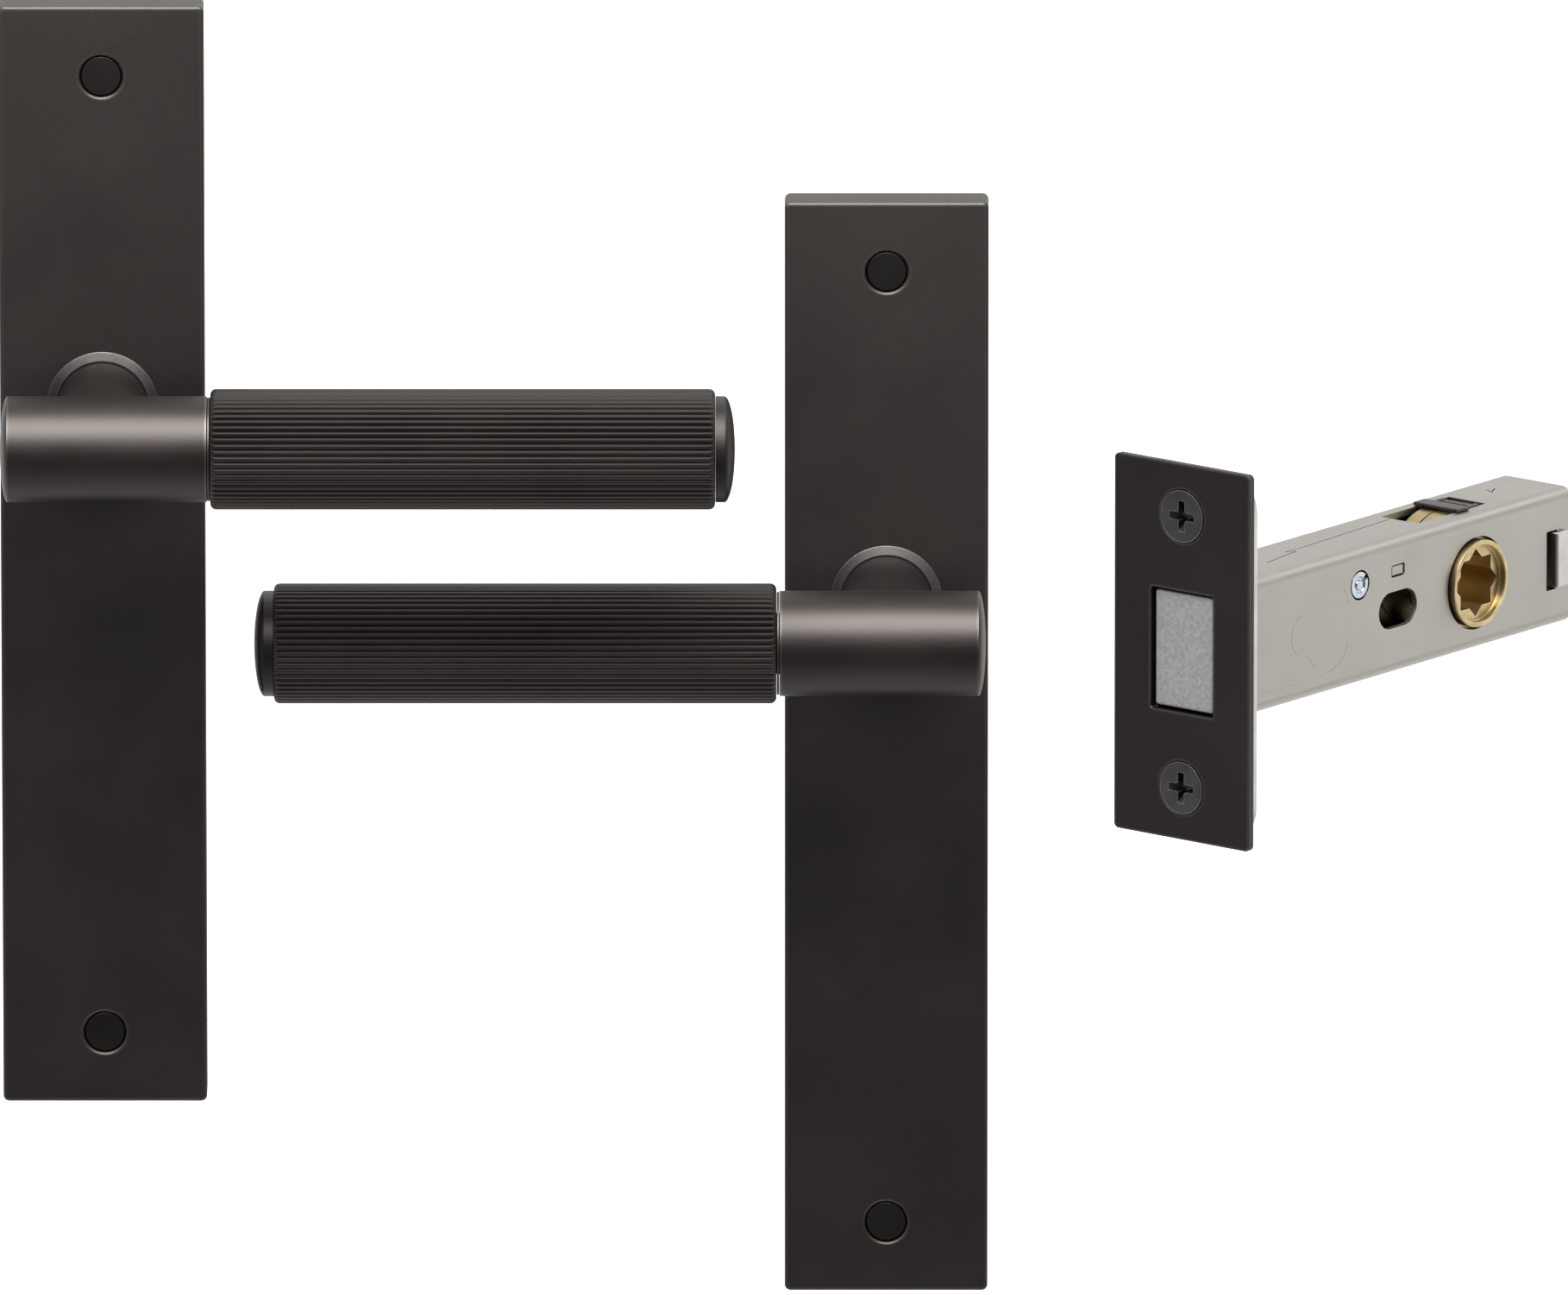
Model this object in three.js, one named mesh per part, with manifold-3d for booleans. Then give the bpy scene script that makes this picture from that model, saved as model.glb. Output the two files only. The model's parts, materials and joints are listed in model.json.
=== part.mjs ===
// A lever door handle set: two mirrored lever handles on long backplates, and the flush-bolt
// tubular mortice latch that they work. The pieces lie apart, as they do before they are fitted.
// Millimetres, +Z up. The origin is the centre of the left backplate's back face: +Y points into
// the door, -Y at the person who uses the handle, and +X is to that person's right.
import * as THREE from 'three';
import { mergeVertices } from 'three/addons/utils/BufferGeometryUtils.js';
import Module from 'manifold-3d';

const wasm = await Module();
wasm.setup();

// ---- Driving dimensions ----------------------------------------------------------------------

const ROUND = 24;          // facets round a turned piece
const HEAD_ROUND = 16;     // facets round a screw's head
const SMALL_ROUND = 12;    // facets round a screw's shank or a pin
const FIT = 0.05;          // gap between two pieces that rest against each other

// The handle and the latch are drawn at the size of their most common pattern, with a 220 mm
// backplate and a 57 mm face plate, and made at this share of it.
const HANDLE_SIZE = 0.85;
const LATCH_SIZE = 1.115;

const PLATE = { width: 40, height: 220, thickness: 9, corner: 1.2 };
const SPINDLE_HEIGHT = 30;         // the spindle's axis above the plate's centre
const FIXING_HEIGHT = 96;          // each fixing screw above or below the plate's centre
// Where the mirrored handle lies: far enough back for each lever to be pressed past the other.
const RIGHT_HANDLE = { x: 130.3, y: 22.1, z: -38.3 };

const CASSETTE = { radius: 15.4, floor: -7, cover: { width: 33.6, height: 45.6, thickness: 1.3, corner: 6 } };
const COVER_SCREW = { height: 19.3, radius: 1.4, head: 2.6, headHeight: 1.15, length: 5, slot: 1.2 };
const STOP_PEG = { radius: 1.4, orbit: 13.6 };
const LEVER_SWING = 45;            // degrees from rest to the stop

const CAP = { hole: 4.35, radius: 3.85, edge: 0.2, recess: 0.6, thickness: 1.15, stub: 1.5, seat: -4.2 };
const FIXING_SCREW = { head: 4.1, headHeight: 2.95, shank: 2.5, reach: 14, key: 4, keyFloor: 0.9 };
const COLLAR = { radius: 10.95, rim: 0.3, shoulder: 9.7, height: 0.8 };
const BUSH = { wall: 1.1, flange: 12, flangeThickness: 0.6 };

const NECK = { radius: 9, stub: 7.5, stubFlat: 6.2, shoulder: -3.75, end: -0.6 };
const LEVER_AXIS = -(PLATE.thickness + 36.5);  // the grip's axis in front of the door
const HEAD = { radius: 10.3, from: -19.3, to: 21, dome: 1.5 };
const JOINT_RING = { radius: 10.1, thickness: 0.6 };
const SLEEVE = { radius: 11.75, length: 98.2, chamfer: 1.2, flutes: 58, fluteDepth: 0.5 };
const CORE = { radius: 6, root: 8.1, capBore: 3.2 };
const END_CAP = { radius: 10.35, proud: 3.8, dome: 2.1, spigot: 3, spigotLength: 9 };
const SPINDLE = { side: 9.4, front: -31.5, back: 36 };
const SOCKET = { side: 9.5, front: -32 };
const GRUB = { y: -14.5, radius: 2.5, inner: -4.8, outer: -8.6, key: 2.5, keyDepth: 2.2 };

const DRIVER = { radius: 14.9, thickness: 1.2, front: -3.7 };
const CIRCLIP = { front: -2.4, thickness: 0.8, inner: 6.95, outer: 9.4, groove: 6.9, gap: 4 };
const RETURN_SPRING = { wire: 1.2, radius: 10.8, front: -6.3, turns: 1.05, points: 16, steps: 26 };

// The latch's own frame: x across its thickness, y inwards from its face along the body, z up.
const LATCH = { x: 178.8, y: -57.8, z: -4.4, turn: -38.6 };
const FACE_PLATE = { width: 25.4, height: 57.15, thickness: 1.2, corner: 0.8 };
const FOREND = { width: 24.8, height: 56.5, thickness: 1.1, corner: 6 };
const BOLT_OPENING = { width: 11.7, height: 18.5, corner: 0.4 };
const FACE_SCREW = {
  height: 20.65, head: 4, shank: 2, length: 14, point: 2, crossLength: 4.2, crossWidth: 0.9,
};
const CASE = { width: 14.1, height: 20.7, wall: 1, corner: 2, rear: 86 };
const HUB = { y: 62.4, ring: 6.6, body: 7.5, proud: 0.9, square: 7.4, mouth: 5.85, mouthDepth: 1.1 };
const LUG = { radius: 10.2, width: 2.5, front: 50, rear: 12 };   // degrees either side of upright
const SADDLE = {
  wall: 0.7, outside: 3.4, wings: 4.3, low: 7.7, top: 10.95, from: 61.4, to: 67.6, bar: 2.8, strap: 1.2,
};
const THROUGH_HOLE = { y: 43.2, z: -0.4, length: 9.3, height: 5.6 };
const PIN = { y: 34, z: 4.9, radius: 2 };
const TIE_BAR = { y: 43.2, z: 5.5, length: 3.3, height: 1.9 };
const REAR_SLOT = { from: 79.5, to: 82, height: 9.1 };
const CLIP = { half: 7, plate: 1.2, leg: 0.9, tab: 0.8, tabLength: 3.3, setBack: 1.4 };
const GUIDE = { from: 27.2, to: 38.6, half: 7, bore: 3.2 };
const CAM_WINDOW = { from: 52.6, to: 69.2, width: 7 };
const BOLT = { width: 10.8, height: 17.6, corner: 0.5, front: 0.6, rear: 23.6, bore: 3.6, face: 2.4 };
const MAGNET_LENGTH = 10;
const LINK = { web: 2.5, rail: 1.3, inside: 4.4, outside: 5.6, top: 9.1, ears: 77.7, rear: 79 };
const BOLT_SPRING = { from: 26.8, to: 37.4, radius: 2.2, wire: 0.3, turns: 5, z: -2.5 };

// ---- Materials -------------------------------------------------------------------------------

const material = (color, roughness, metalness) =>
  new THREE.MeshStandardMaterial({ color, roughness, metalness, flatShading: true });

const bronze = material(0x4a4442, 0.38, 1);
const bronzeGrip = material(0x554d49, 0.34, 1);
const collarBronze = material(0x6b6562, 0.3, 1);
const blackPlug = material(0x2f2c2b, 0.5, 0.6);
const zincSteel = material(0xb9b6b0, 0.35, 1);
const stainless = material(0xc4c2be, 0.28, 1);
const springSteel = material(0x4b4d50, 0.35, 1);
const brass = material(0xd9b36c, 0.3, 1);
const blueZinc = material(0x8d98a8, 0.35, 1);
const castBolt = material(0xa4a2a2, 0.55, 0.9);
const nylon = material(0x2b2b2c, 0.6, 0);
const magnet = material(0x8f8f92, 0.25, 1);

// ---- Shapes ----------------------------------------------------------------------------------

const AXIS_X = new THREE.Vector3(1, 0, 0);
const AXIS_Y = new THREE.Vector3(0, 1, 0);
const AXIS_Z = new THREE.Vector3(0, 0, 1);

// The geometry with its shared corners merged, no empty triangles, and its faces pointing out.
function closed(geometry) {
  const bare = geometry.clone();
  bare.deleteAttribute('normal');
  bare.deleteAttribute('uv');
  const merged = mergeVertices(bare);
  const corner = (i) => new THREE.Vector3().fromBufferAttribute(merged.attributes.position, i);
  const faces = [];
  let volume = 0;
  for (let i = 0; i < merged.index.count; i += 3) {
    const [a, b, c] = [0, 1, 2].map((k) => merged.index.getX(i + k));
    if (a === b || b === c || c === a) continue;
    faces.push([a, b, c]);
    volume += corner(a).dot(corner(b).cross(corner(c)));
  }
  const outward = volume < 0 ? faces.map(([a, b, c]) => [a, c, b]) : faces;
  return merged.setIndex(outward.flat());
}

// A closed geometry as a solid that can be cut and joined, and such a solid as a geometry again.
function solid(geometry) {
  const { attributes, index } = closed(geometry);
  const vertProperties = new Float32Array(attributes.position.array);
  const triVerts = new Uint32Array(index.array);
  return new wasm.Manifold(new wasm.Mesh({ numProp: 3, vertProperties, triVerts }));
}

function geometryOf(manifold) {
  const { vertProperties, triVerts } = manifold.getMesh();
  const geometry = new THREE.BufferGeometry();
  geometry.setAttribute('position', new THREE.BufferAttribute(new Float32Array(vertProperties), 3));
  return geometry.setIndex(Array.from(triVerts));
}

const cut = (base, ...tools) =>
  geometryOf(tools.reduce((left, tool) => left.subtract(solid(tool)), solid(base)));
const join = (base, ...more) =>
  geometryOf(more.reduce((whole, piece) => whole.add(solid(piece)), solid(base)));
const common = (one, other) => geometryOf(solid(one).intersect(solid(other)));

// The radius of a faceted hole that a faceted rod of this radius turns in, with a gap at the flats.
const around = (radius, gap = FIT, segments = ROUND) => (radius + gap) / Math.cos(Math.PI / segments);

// A piece turned on a lathe, from [radius, distance along the axis] points.
function turned(profile, segments = ROUND) {
  const points = profile.map(([radius, along]) => new THREE.Vector2(radius, along));
  return closed(new THREE.LatheGeometry(points, segments));
}
const alongX = (geometry) => geometry.rotateZ(-Math.PI / 2);
const alongZ = (geometry) => geometry.rotateX(Math.PI / 2);

// Profile points of a shallow dome, from its rim to the axis.
function dome(radius, base, height, steps = 3) {
  const points = [];
  for (let i = 0; i < steps; i += 1) {
    const angle = (i / steps) * (Math.PI / 2);
    points.push([radius * Math.cos(angle), base + height * Math.sin(angle)]);
  }
  return [...points, [0, base + height]];
}

const rod = (radius, from, to, segments = ROUND) =>
  turned([[0, from], [radius, from], [radius, to], [0, to]], segments);
const ring = (inner, outer, from, to, segments = ROUND) =>
  turned([[inner, from], [outer, from], [outer, to], [inner, to], [inner, from]], segments);

// A block between two opposite corners.
function block([x0, y0, z0], [x1, y1, z1]) {
  const box = new THREE.BoxGeometry(x1 - x0, y1 - y0, z1 - z0);
  return closed(box.translate((x0 + x1) / 2, (y0 + y1) / 2, (z0 + z1) / 2));
}

function roundedRectangle(width, height, radius) {
  const shape = new THREE.Shape();
  const [x, y] = [width / 2 - radius, height / 2 - radius];
  shape.absarc(x, y, radius, 0, Math.PI / 2);
  shape.absarc(-x, y, radius, Math.PI / 2, Math.PI);
  shape.absarc(-x, -y, radius, Math.PI, 1.5 * Math.PI);
  shape.absarc(x, -y, radius, 1.5 * Math.PI, 2 * Math.PI);
  shape.closePath();
  return shape;
}

// A prism whose outline lies in the x-z plane and which runs along y, or in y-z and runs along x.
function prismY(shape, from, to, curveSegments = 2) {
  const depth = to - from;
  const prism = new THREE.ExtrudeGeometry(shape, { depth, curveSegments, bevelEnabled: false });
  return closed(prism.rotateX(Math.PI / 2).translate(0, to, 0));
}
function prismX(shape, from, to, curveSegments = 2) {
  const depth = to - from;
  const prism = new THREE.ExtrudeGeometry(shape, { depth, curveSegments, bevelEnabled: false });
  const standing = new THREE.Matrix4().makeBasis(AXIS_Y, AXIS_Z, AXIS_X);
  return closed(prism.applyMatrix4(standing).translate(from, 0, 0));
}

// Round wire bent along a curve.
function wire(curve, radius, steps) {
  const section = new THREE.Shape();
  section.absarc(0, 0, radius, 0, 2 * Math.PI);
  const options = { steps, curveSegments: 3, bevelEnabled: false, extrudePath: curve };
  return closed(new THREE.ExtrudeGeometry(section, options));
}

// The six-sided pit that a hexagon key turns, along y.
const hexPit = (acrossFlats, from, to) => rod(acrossFlats / Math.sqrt(3), from, to, 6);

function mesh(name, geometry, finish) {
  const piece = new THREE.Mesh(geometry, finish);
  piece.name = name;
  return piece;
}

// ---- Handle: the plate and what is fixed to it -----------------------------------------------
// Every handle piece is made for the left handle, about the spindle's axis where it is turned.

const atSpindle = (geometry) => geometry.translate(0, 0, SPINDLE_HEIGHT);
const atGrip = (geometry) => geometry.translate(0, LEVER_AXIS, SPINDLE_HEIGHT);

function backplate() {
  const front = -PLATE.thickness;
  const cover = CASSETTE.cover;
  const slab = prismY(roundedRectangle(PLATE.width, PLATE.height, PLATE.corner), front, 0);
  const ledge = prismY(
    roundedRectangle(cover.width + 0.4, cover.height + 0.4, cover.corner), -cover.thickness - 0.15, 1);
  const cuts = [
    atSpindle(ledge),
    atSpindle(rod(CASSETTE.radius, CASSETTE.floor, 1)),
    atSpindle(rod(around(NECK.radius + BUSH.wall), front - 1, 1)),
  ];
  for (const side of [1, -1]) {
    const screw = rod(COVER_SCREW.radius + 0.1, -cover.thickness - COVER_SCREW.length, 1, SMALL_ROUND);
    cuts.push(screw.translate(0, 0, SPINDLE_HEIGHT + side * COVER_SCREW.height));
    cuts.push(rod(CAP.hole, front - 1, CAP.seat).translate(0, 0, side * FIXING_HEIGHT));
    const through = rod(FIXING_SCREW.shank + 0.15, front, 1, SMALL_ROUND);
    cuts.push(through.translate(0, 0, side * FIXING_HEIGHT));
  }
  const peg = rod(STOP_PEG.radius, CASSETTE.floor - 1, -cover.thickness - 0.4, SMALL_ROUND);
  return join(cut(slab, ...cuts), atSpindle(peg.translate(0, 0, STOP_PEG.orbit)));
}

// The flanged nylon bush that the neck turns in.
function neckBush() {
  const [inner, outer] = [around(NECK.radius), NECK.radius + BUSH.wall];
  const [front, floor] = [-PLATE.thickness + 0.1, CASSETTE.floor + FIT];
  const back = CASSETTE.floor + BUSH.flangeThickness;
  return atSpindle(turned([
    [inner, front], [outer, front], [outer, floor], [BUSH.flange, floor],
    [BUSH.flange, back], [inner, back], [inner, front],
  ]));
}

// The thin bevelled ring round the neck, on the plate's face.
function collarRing() {
  const { radius, rim, shoulder, height } = COLLAR;
  const base = -PLATE.thickness - FIT;
  const inner = around(NECK.radius);
  return atSpindle(turned([
    [inner, base], [radius, base], [radius, base - rim],
    [shoulder, base - height], [inner, base - height], [inner, base],
  ]));
}

// The sheet-steel lid over the spring's recess, let into the plate's back.
function cassetteCover() {
  const { width, height, thickness, corner } = CASSETTE.cover;
  const sheet = prismY(roundedRectangle(width, height, corner), -thickness - 0.1, -0.1);
  const [shank, head] = [COVER_SCREW.radius + 0.15, COVER_SCREW.head + 0.15];
  const seat = -COVER_SCREW.headHeight - FIT;
  const holes = [rod(NECK.stub + 0.5, -3, 1)];
  for (const side of [1, -1]) {
    const sink = turned([[0, -3], [shank, -3], [shank, seat], [head, -FIT], [head, 1], [0, 1]], SMALL_ROUND);
    holes.push(sink.translate(0, 0, side * COVER_SCREW.height));
  }
  return atSpindle(cut(sheet, ...holes));
}

// A countersunk screw into the back of the plate, with a plain slot in its head.
function coverScrew(side) {
  const { radius, head, headHeight, length, height, slot } = COVER_SCREW;
  const face = -0.15;
  const blank = turned([
    [0, -length - 1], [radius, -length - 1], [radius, face - headHeight], [head, face], [0, face],
  ], SMALL_ROUND);
  const slotted = cut(blank, block([-head - 1, -slot / 2, -slot / 4], [head + 1, 1, slot / 4]));
  return slotted.translate(0, 0, SPINDLE_HEIGHT + side * height);
}

// A socket-head screw through the plate into the door.
function fixingScrew(side) {
  const { head, headHeight, shank, reach, key, keyFloor } = FIXING_SCREW;
  const seat = CAP.seat - FIT;
  const top = seat - headHeight;
  const blank = turned([
    [0, top], [head, top], [head, seat], [shank, seat], [shank, reach], [0, reach],
  ], HEAD_ROUND);
  const keyed = cut(blank, hexPit(key, top - 1, seat - keyFloor));
  return keyed.translate(0, 0, side * FIXING_HEIGHT);
}

// The plug that hides a fixing screw: a disc with a stub that snaps into the screw's socket.
function screwCap(side) {
  const { radius, edge, thickness, stub } = CAP;
  const front = -PLATE.thickness + CAP.recess;
  const [back, tip] = [front + thickness, front + 2 * thickness];
  const plug = turned([
    [0, front], [radius - edge, front], [radius, front + edge], [radius, back],
    [stub, back], [stub, tip], [0, tip],
  ], HEAD_ROUND);
  return plug.translate(0, 0, side * FIXING_HEIGHT);
}

// One turn of wire round the neck, with a leg at each end.
function returnSpring() {
  const { wire: thickness, radius, front, turns, points: count, steps } = RETURN_SPRING;
  const points = [];
  const first = front + thickness / 2;
  for (let i = 0; i <= count; i += 1) {
    const angle = Math.PI / 3 + (i / count) * turns * 2 * Math.PI;
    const along = first + (i / count) * (thickness + 0.08);
    points.push(new THREE.Vector3(radius * Math.cos(angle), along, radius * Math.sin(angle)));
  }
  const legEnd = (point) => point.clone().multiply(new THREE.Vector3(1.3, 1, 1.3));
  const path = [legEnd(points[0]), ...points, legEnd(points.at(-1))];
  return atSpindle(wire(new THREE.CatmullRomCurve3(path), thickness / 2, steps));
}

// ---- Handle: the lever and what turns with it ------------------------------------------------

// The neck and the round head in one piece. The neck's back end is a flatted stub with a groove.
function leverBody() {
  const { radius, stub, stubFlat, shoulder, end } = NECK;
  const post = rod(radius, LEVER_AXIS, shoulder);
  const flats = block([-stubFlat, shoulder - 1, -stub], [stubFlat, end, stub]);
  const stubEnd = common(rod(stub, shoulder - 1, end), flats);
  const { groove: floor, outer, front, thickness } = CIRCLIP;
  const groove = ring(floor, outer, front - FIT, front + thickness + FIT);
  const head = alongX(turned([
    ...dome(HEAD.radius, HEAD.from + HEAD.dome, -HEAD.dome).reverse(), [HEAD.radius, HEAD.to], [0, HEAD.to],
  ])).translate(0, LEVER_AXIS, 0);
  const half = SOCKET.side / 2;
  const cuts = [
    groove,
    block([-half, SOCKET.front, -half], [half, 1, half]),
    alongX(rod(around(CORE.radius), CORE.root - 0.1, HEAD.to + 1)).translate(0, LEVER_AXIS, 0),
    alongZ(rod(around(GRUB.radius, FIT, SMALL_ROUND), -radius - 1, 0, SMALL_ROUND)).translate(0, GRUB.y, 0),
  ];
  return atSpindle(cut(join(post, stubEnd, head), ...cuts));
}

// The bar that carries the grip: its root sits in the head and its far end takes the cap.
function gripCore() {
  const end = HEAD.to + JOINT_RING.thickness + SLEEVE.length - 0.2;
  const bar = rod(CORE.radius, CORE.root, end);
  const bore = rod(CORE.capBore, end - END_CAP.spigotLength - 0.5, end + 1, SMALL_ROUND);
  return atGrip(alongX(cut(bar, bore)));
}

function jointRing() {
  const { radius, thickness } = JOINT_RING;
  return atGrip(alongX(ring(around(CORE.radius), radius, HEAD.to + FIT, HEAD.to + thickness - FIT)));
}

// The reeded sleeve: V-shaped flutes all round, and a chamfer at each end.
function gripSleeve() {
  const { radius, length, chamfer, flutes, fluteDepth } = SLEEVE;
  const from = HEAD.to + JOINT_RING.thickness;
  const to = from + length;
  const outline = new THREE.Shape();
  for (let i = 0; i < 2 * flutes; i += 1) {
    const reach = radius - (i % 2) * fluteDepth;
    const angle = (i * Math.PI) / flutes;
    outline.lineTo(reach * Math.cos(angle), reach * Math.sin(angle));
  }
  outline.closePath();
  const barrel = turned([
    [0, from], [radius - chamfer, from], [radius + 0.1, from + chamfer],
    [radius + 0.1, to - chamfer], [radius - chamfer, to], [0, to],
  ], 2 * flutes);
  const reeded = common(prismX(outline, from - 1, to + 1), alongX(barrel));
  return atGrip(cut(reeded, alongX(rod(around(CORE.radius), from - 1, to + 1))));
}

function endCap() {
  const { radius, proud, spigot, spigotLength } = END_CAP;
  const seat = HEAD.to + JOINT_RING.thickness + SLEEVE.length + FIT;
  const tip = seat + proud;
  return atGrip(alongX(turned([
    [0, seat - spigotLength], [spigot, seat - spigotLength], [spigot, seat], [radius, seat],
    ...dome(radius, tip - END_CAP.dome, END_CAP.dome),
  ])));
}

// The hexagon-socket screw that holds the lever on its spindle, in the neck's underside.
function grubScrew() {
  const { y, radius, inner, outer, key, keyDepth } = GRUB;
  const blank = rod(radius, outer, inner, SMALL_ROUND);
  const keyed = cut(blank, hexPit(key, outer - 1, outer + keyDepth));
  return atSpindle(alongZ(keyed).translate(0, y, 0));
}

// The disc that turns with the neck. Its notch lets it swing round the plate's stop peg.
function springDriver() {
  const { radius, thickness, front } = DRIVER;
  const spare = 0.6;   // degrees
  const pegAngle = THREE.MathUtils.radToDeg(Math.asin(STOP_PEG.radius / STOP_PEG.orbit)) + spare;
  const [start, end] = [90 - pegAngle, 90 + LEVER_SWING + pegAngle].map(THREE.MathUtils.degToRad);
  const notch = new THREE.Shape();
  const [near, far] = [STOP_PEG.orbit - STOP_PEG.radius - 0.3, radius + 2];
  notch.absarc(0, 0, far, start, end);
  notch.absarc(0, 0, near, end, start, true);
  notch.closePath();
  const [stub, flat] = [around(NECK.stub), NECK.stubFlat + FIT];
  const bore = common(rod(stub, front - 1, 1), block([-flat, front - 2, -20], [flat, 2, 20]));
  const disc = rod(radius, front, front + thickness);
  return atSpindle(cut(disc, bore, prismY(notch, front - 1, front + thickness + 1, 4)));
}

// The open ring in the neck's groove that keeps the lever in its plate.
function retainingRing() {
  const { front, thickness, inner, outer, gap } = CIRCLIP;
  const opening = block([-gap / 2, front - 1, -outer - 1], [gap / 2, front + thickness + 1, 0]);
  return atSpindle(cut(ring(inner, outer, front, front + thickness), opening));
}

function spindle() {
  const half = SPINDLE.side / 2;
  return atSpindle(block([-half, SPINDLE.front, -half], [half, SPINDLE.back, half]));
}

// ---- Handle ----------------------------------------------------------------------------------

function handle(side) {
  const group = new THREE.Group();
  const add = (name, geometry, finish) => group.add(mesh(side + '_' + name, geometry, finish));
  add('backplate', backplate(), bronze);
  add('neck_bush', neckBush(), nylon);
  add('collar_ring', collarRing(), collarBronze);
  add('cassette_cover', cassetteCover(), zincSteel);
  for (const [place, sign] of [['upper', 1], ['lower', -1]]) {
    add('cover_screw_' + place, coverScrew(sign), zincSteel);
    add('fixing_screw_' + place, fixingScrew(sign), zincSteel);
    add('screw_cap_' + place, screwCap(sign), blackPlug);
  }
  add('return_spring', returnSpring(), springSteel);
  add('lever_body', leverBody(), bronze);
  add('grip_core', gripCore(), zincSteel);
  add('joint_ring', jointRing(), bronze);
  add('grip_sleeve', gripSleeve(), bronzeGrip);
  add('end_cap', endCap(), bronze);
  add('grub_screw', grubScrew(), springSteel);
  add('spring_driver', springDriver(), zincSteel);
  add('retaining_ring', retainingRing(), springSteel);
  return group;
}

// ---- Latch: face, case and fixed pieces ------------------------------------------------------

// The two countersunk holes that the face screws pass through, in the face plate and the forend.
function faceScrewHoles() {
  const { head, shank, height } = FACE_SCREW;
  const [front, mouth, bore] = [-0.5, head + 0.62, shank + 0.15];
  const waist = front + mouth - bore;
  const hole = turned([[0, front], [mouth, front], [bore, waist], [bore, 4], [0, 4]], HEAD_ROUND);
  return [1, -1].map((side) => hole.clone().translate(0, 0, side * height));
}

// The dark plate that shows in the door's edge, and the steel forend behind it.
function facePlate() {
  const { width, height, thickness, corner } = FACE_PLATE;
  const sheet = prismY(roundedRectangle(width, height, corner), 0, thickness);
  const opening = roundedRectangle(BOLT_OPENING.width, BOLT_OPENING.height, BOLT_OPENING.corner);
  return cut(sheet, prismY(opening, -1, thickness + 1), ...faceScrewHoles());
}

function forend() {
  const { width, height, thickness, corner } = FOREND;
  const front = FACE_PLATE.thickness + FIT;
  const sheet = prismY(roundedRectangle(width, height, corner), front, front + thickness, 4);
  const mouth = roundedRectangle(CASE.width + 0.2, CASE.height + 0.2, CASE.corner + 0.1);
  return cut(sheet, prismY(mouth, 0, front + thickness + 1), ...faceScrewHoles());
}

// A countersunk screw with a cross recess.
function faceScrew(side) {
  const { head, shank, length, height, point, crossLength, crossWidth } = FACE_SCREW;
  const face = -0.1;
  const blank = turned([
    [0, face], [head, face], [shank, face + head - shank], [shank, length - point], [0, length],
  ], HEAD_ROUND);
  const [long, wide] = [crossLength / 2, crossWidth / 2];
  const recess = [block([-long, -1, -wide], [long, 1, wide]), block([-wide, -1, -long], [wide, 1, long])];
  return cut(blank, ...recess).translate(0, 0, side * height);
}

// An upright rod across the latch at the guide pin, from one x to another.
const atPin = (radius, from, to) =>
  alongX(rod(radius, from, to, SMALL_ROUND)).translate(0, PIN.y, PIN.z);

// A bar across the latch at the tie bar, smaller all round by the given gap.
function tieBlock(half, gap) {
  const [y, z] = [TIE_BAR.length / 2 - gap, TIE_BAR.height / 2 - gap];
  return block([-half, TIE_BAR.y - y, TIE_BAR.z - z], [half, TIE_BAR.y + y, TIE_BAR.z + z]);
}

// The outline of the slotted hole for a fixing bolt, in the y-z plane.
function throughHole() {
  const { y, z, length, height } = THROUGH_HOLE;
  const [radius, reach] = [height / 2, (length - height) / 2];
  const outline = new THREE.Shape();
  outline.absarc(y + reach, z, radius, -Math.PI / 2, Math.PI / 2);
  outline.absarc(y - reach, z, radius, Math.PI / 2, 1.5 * Math.PI);
  outline.closePath();
  return outline;
}

// The folded steel case, closed at its rear, with the same holes in both sides.
function caseBody() {
  const { width, height, wall, corner, rear } = CASE;
  const front = FACE_PLATE.thickness + FIT;
  const tube = prismY(roundedRectangle(width, height, corner), front, rear);
  const inside = roundedRectangle(width - 2 * wall, height - 2 * wall, corner - wall);
  const [slot, window] = [REAR_SLOT.height / 2, CAM_WINDOW.width / 2];
  return cut(
    tube,
    prismY(inside, front - 1, rear - wall),
    alongX(rod(HUB.ring + 0.5, -width, width)).translate(0, HUB.y, 0),
    prismX(throughHole(), -width, width, 4),
    atPin(PIN.radius + 0.3, -width, width),
    tieBlock(width, 0),
    block([-width, REAR_SLOT.from, -slot], [width, REAR_SLOT.to, slot]),
    block([-window, CAM_WINDOW.from, -height], [window, CAM_WINDOW.to, height]),
  );
}

// The clip that closes the rear: a plate with two legs, whose tabs come out through the slots and
// are folded back over the case's sides.
function endClip() {
  const { half, plate, leg, tab, tabLength, setBack } = CLIP;
  const inner = CASE.width / 2 - CASE.wall - 0.1;
  const outer = CASE.width / 2 + 0.1;
  const rear = CASE.rear - CASE.wall - 0.2;
  const reach = REAR_SLOT.height / 2 - 0.25;
  const front = REAR_SLOT.from + setBack;
  const bar = (near, far, to) => block([near, front, -reach], [far, to, reach]);
  const foldedLeg = join(
    bar(inner - leg, inner, rear - plate / 2),
    bar(inner - leg, outer + tab, front + tab),
    bar(outer, outer + tab, front + tabLength),
  );
  const backPlate = block([-inner, rear - plate, -half], [inner, rear, half]);
  return join(backPlate, foldedLeg, foldedLeg.clone().scale(-1, 1, 1));
}

// The nylon block that guides the bolt's spring and holds the case's sides apart.
function guideBlock() {
  const { from, to, half, bore } = GUIDE;
  const side = CASE.width / 2 - CASE.wall - 0.1;
  const body = block([-side, from, -half], [side, to, half]);
  const pinHole = atPin(around(PIN.radius, FIT, SMALL_ROUND), -side - 1, side + 1);
  return cut(body, pinHole, rod(bore, from - 1, to + 1, SMALL_ROUND).translate(0, 0, BOLT_SPRING.z));
}

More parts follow.
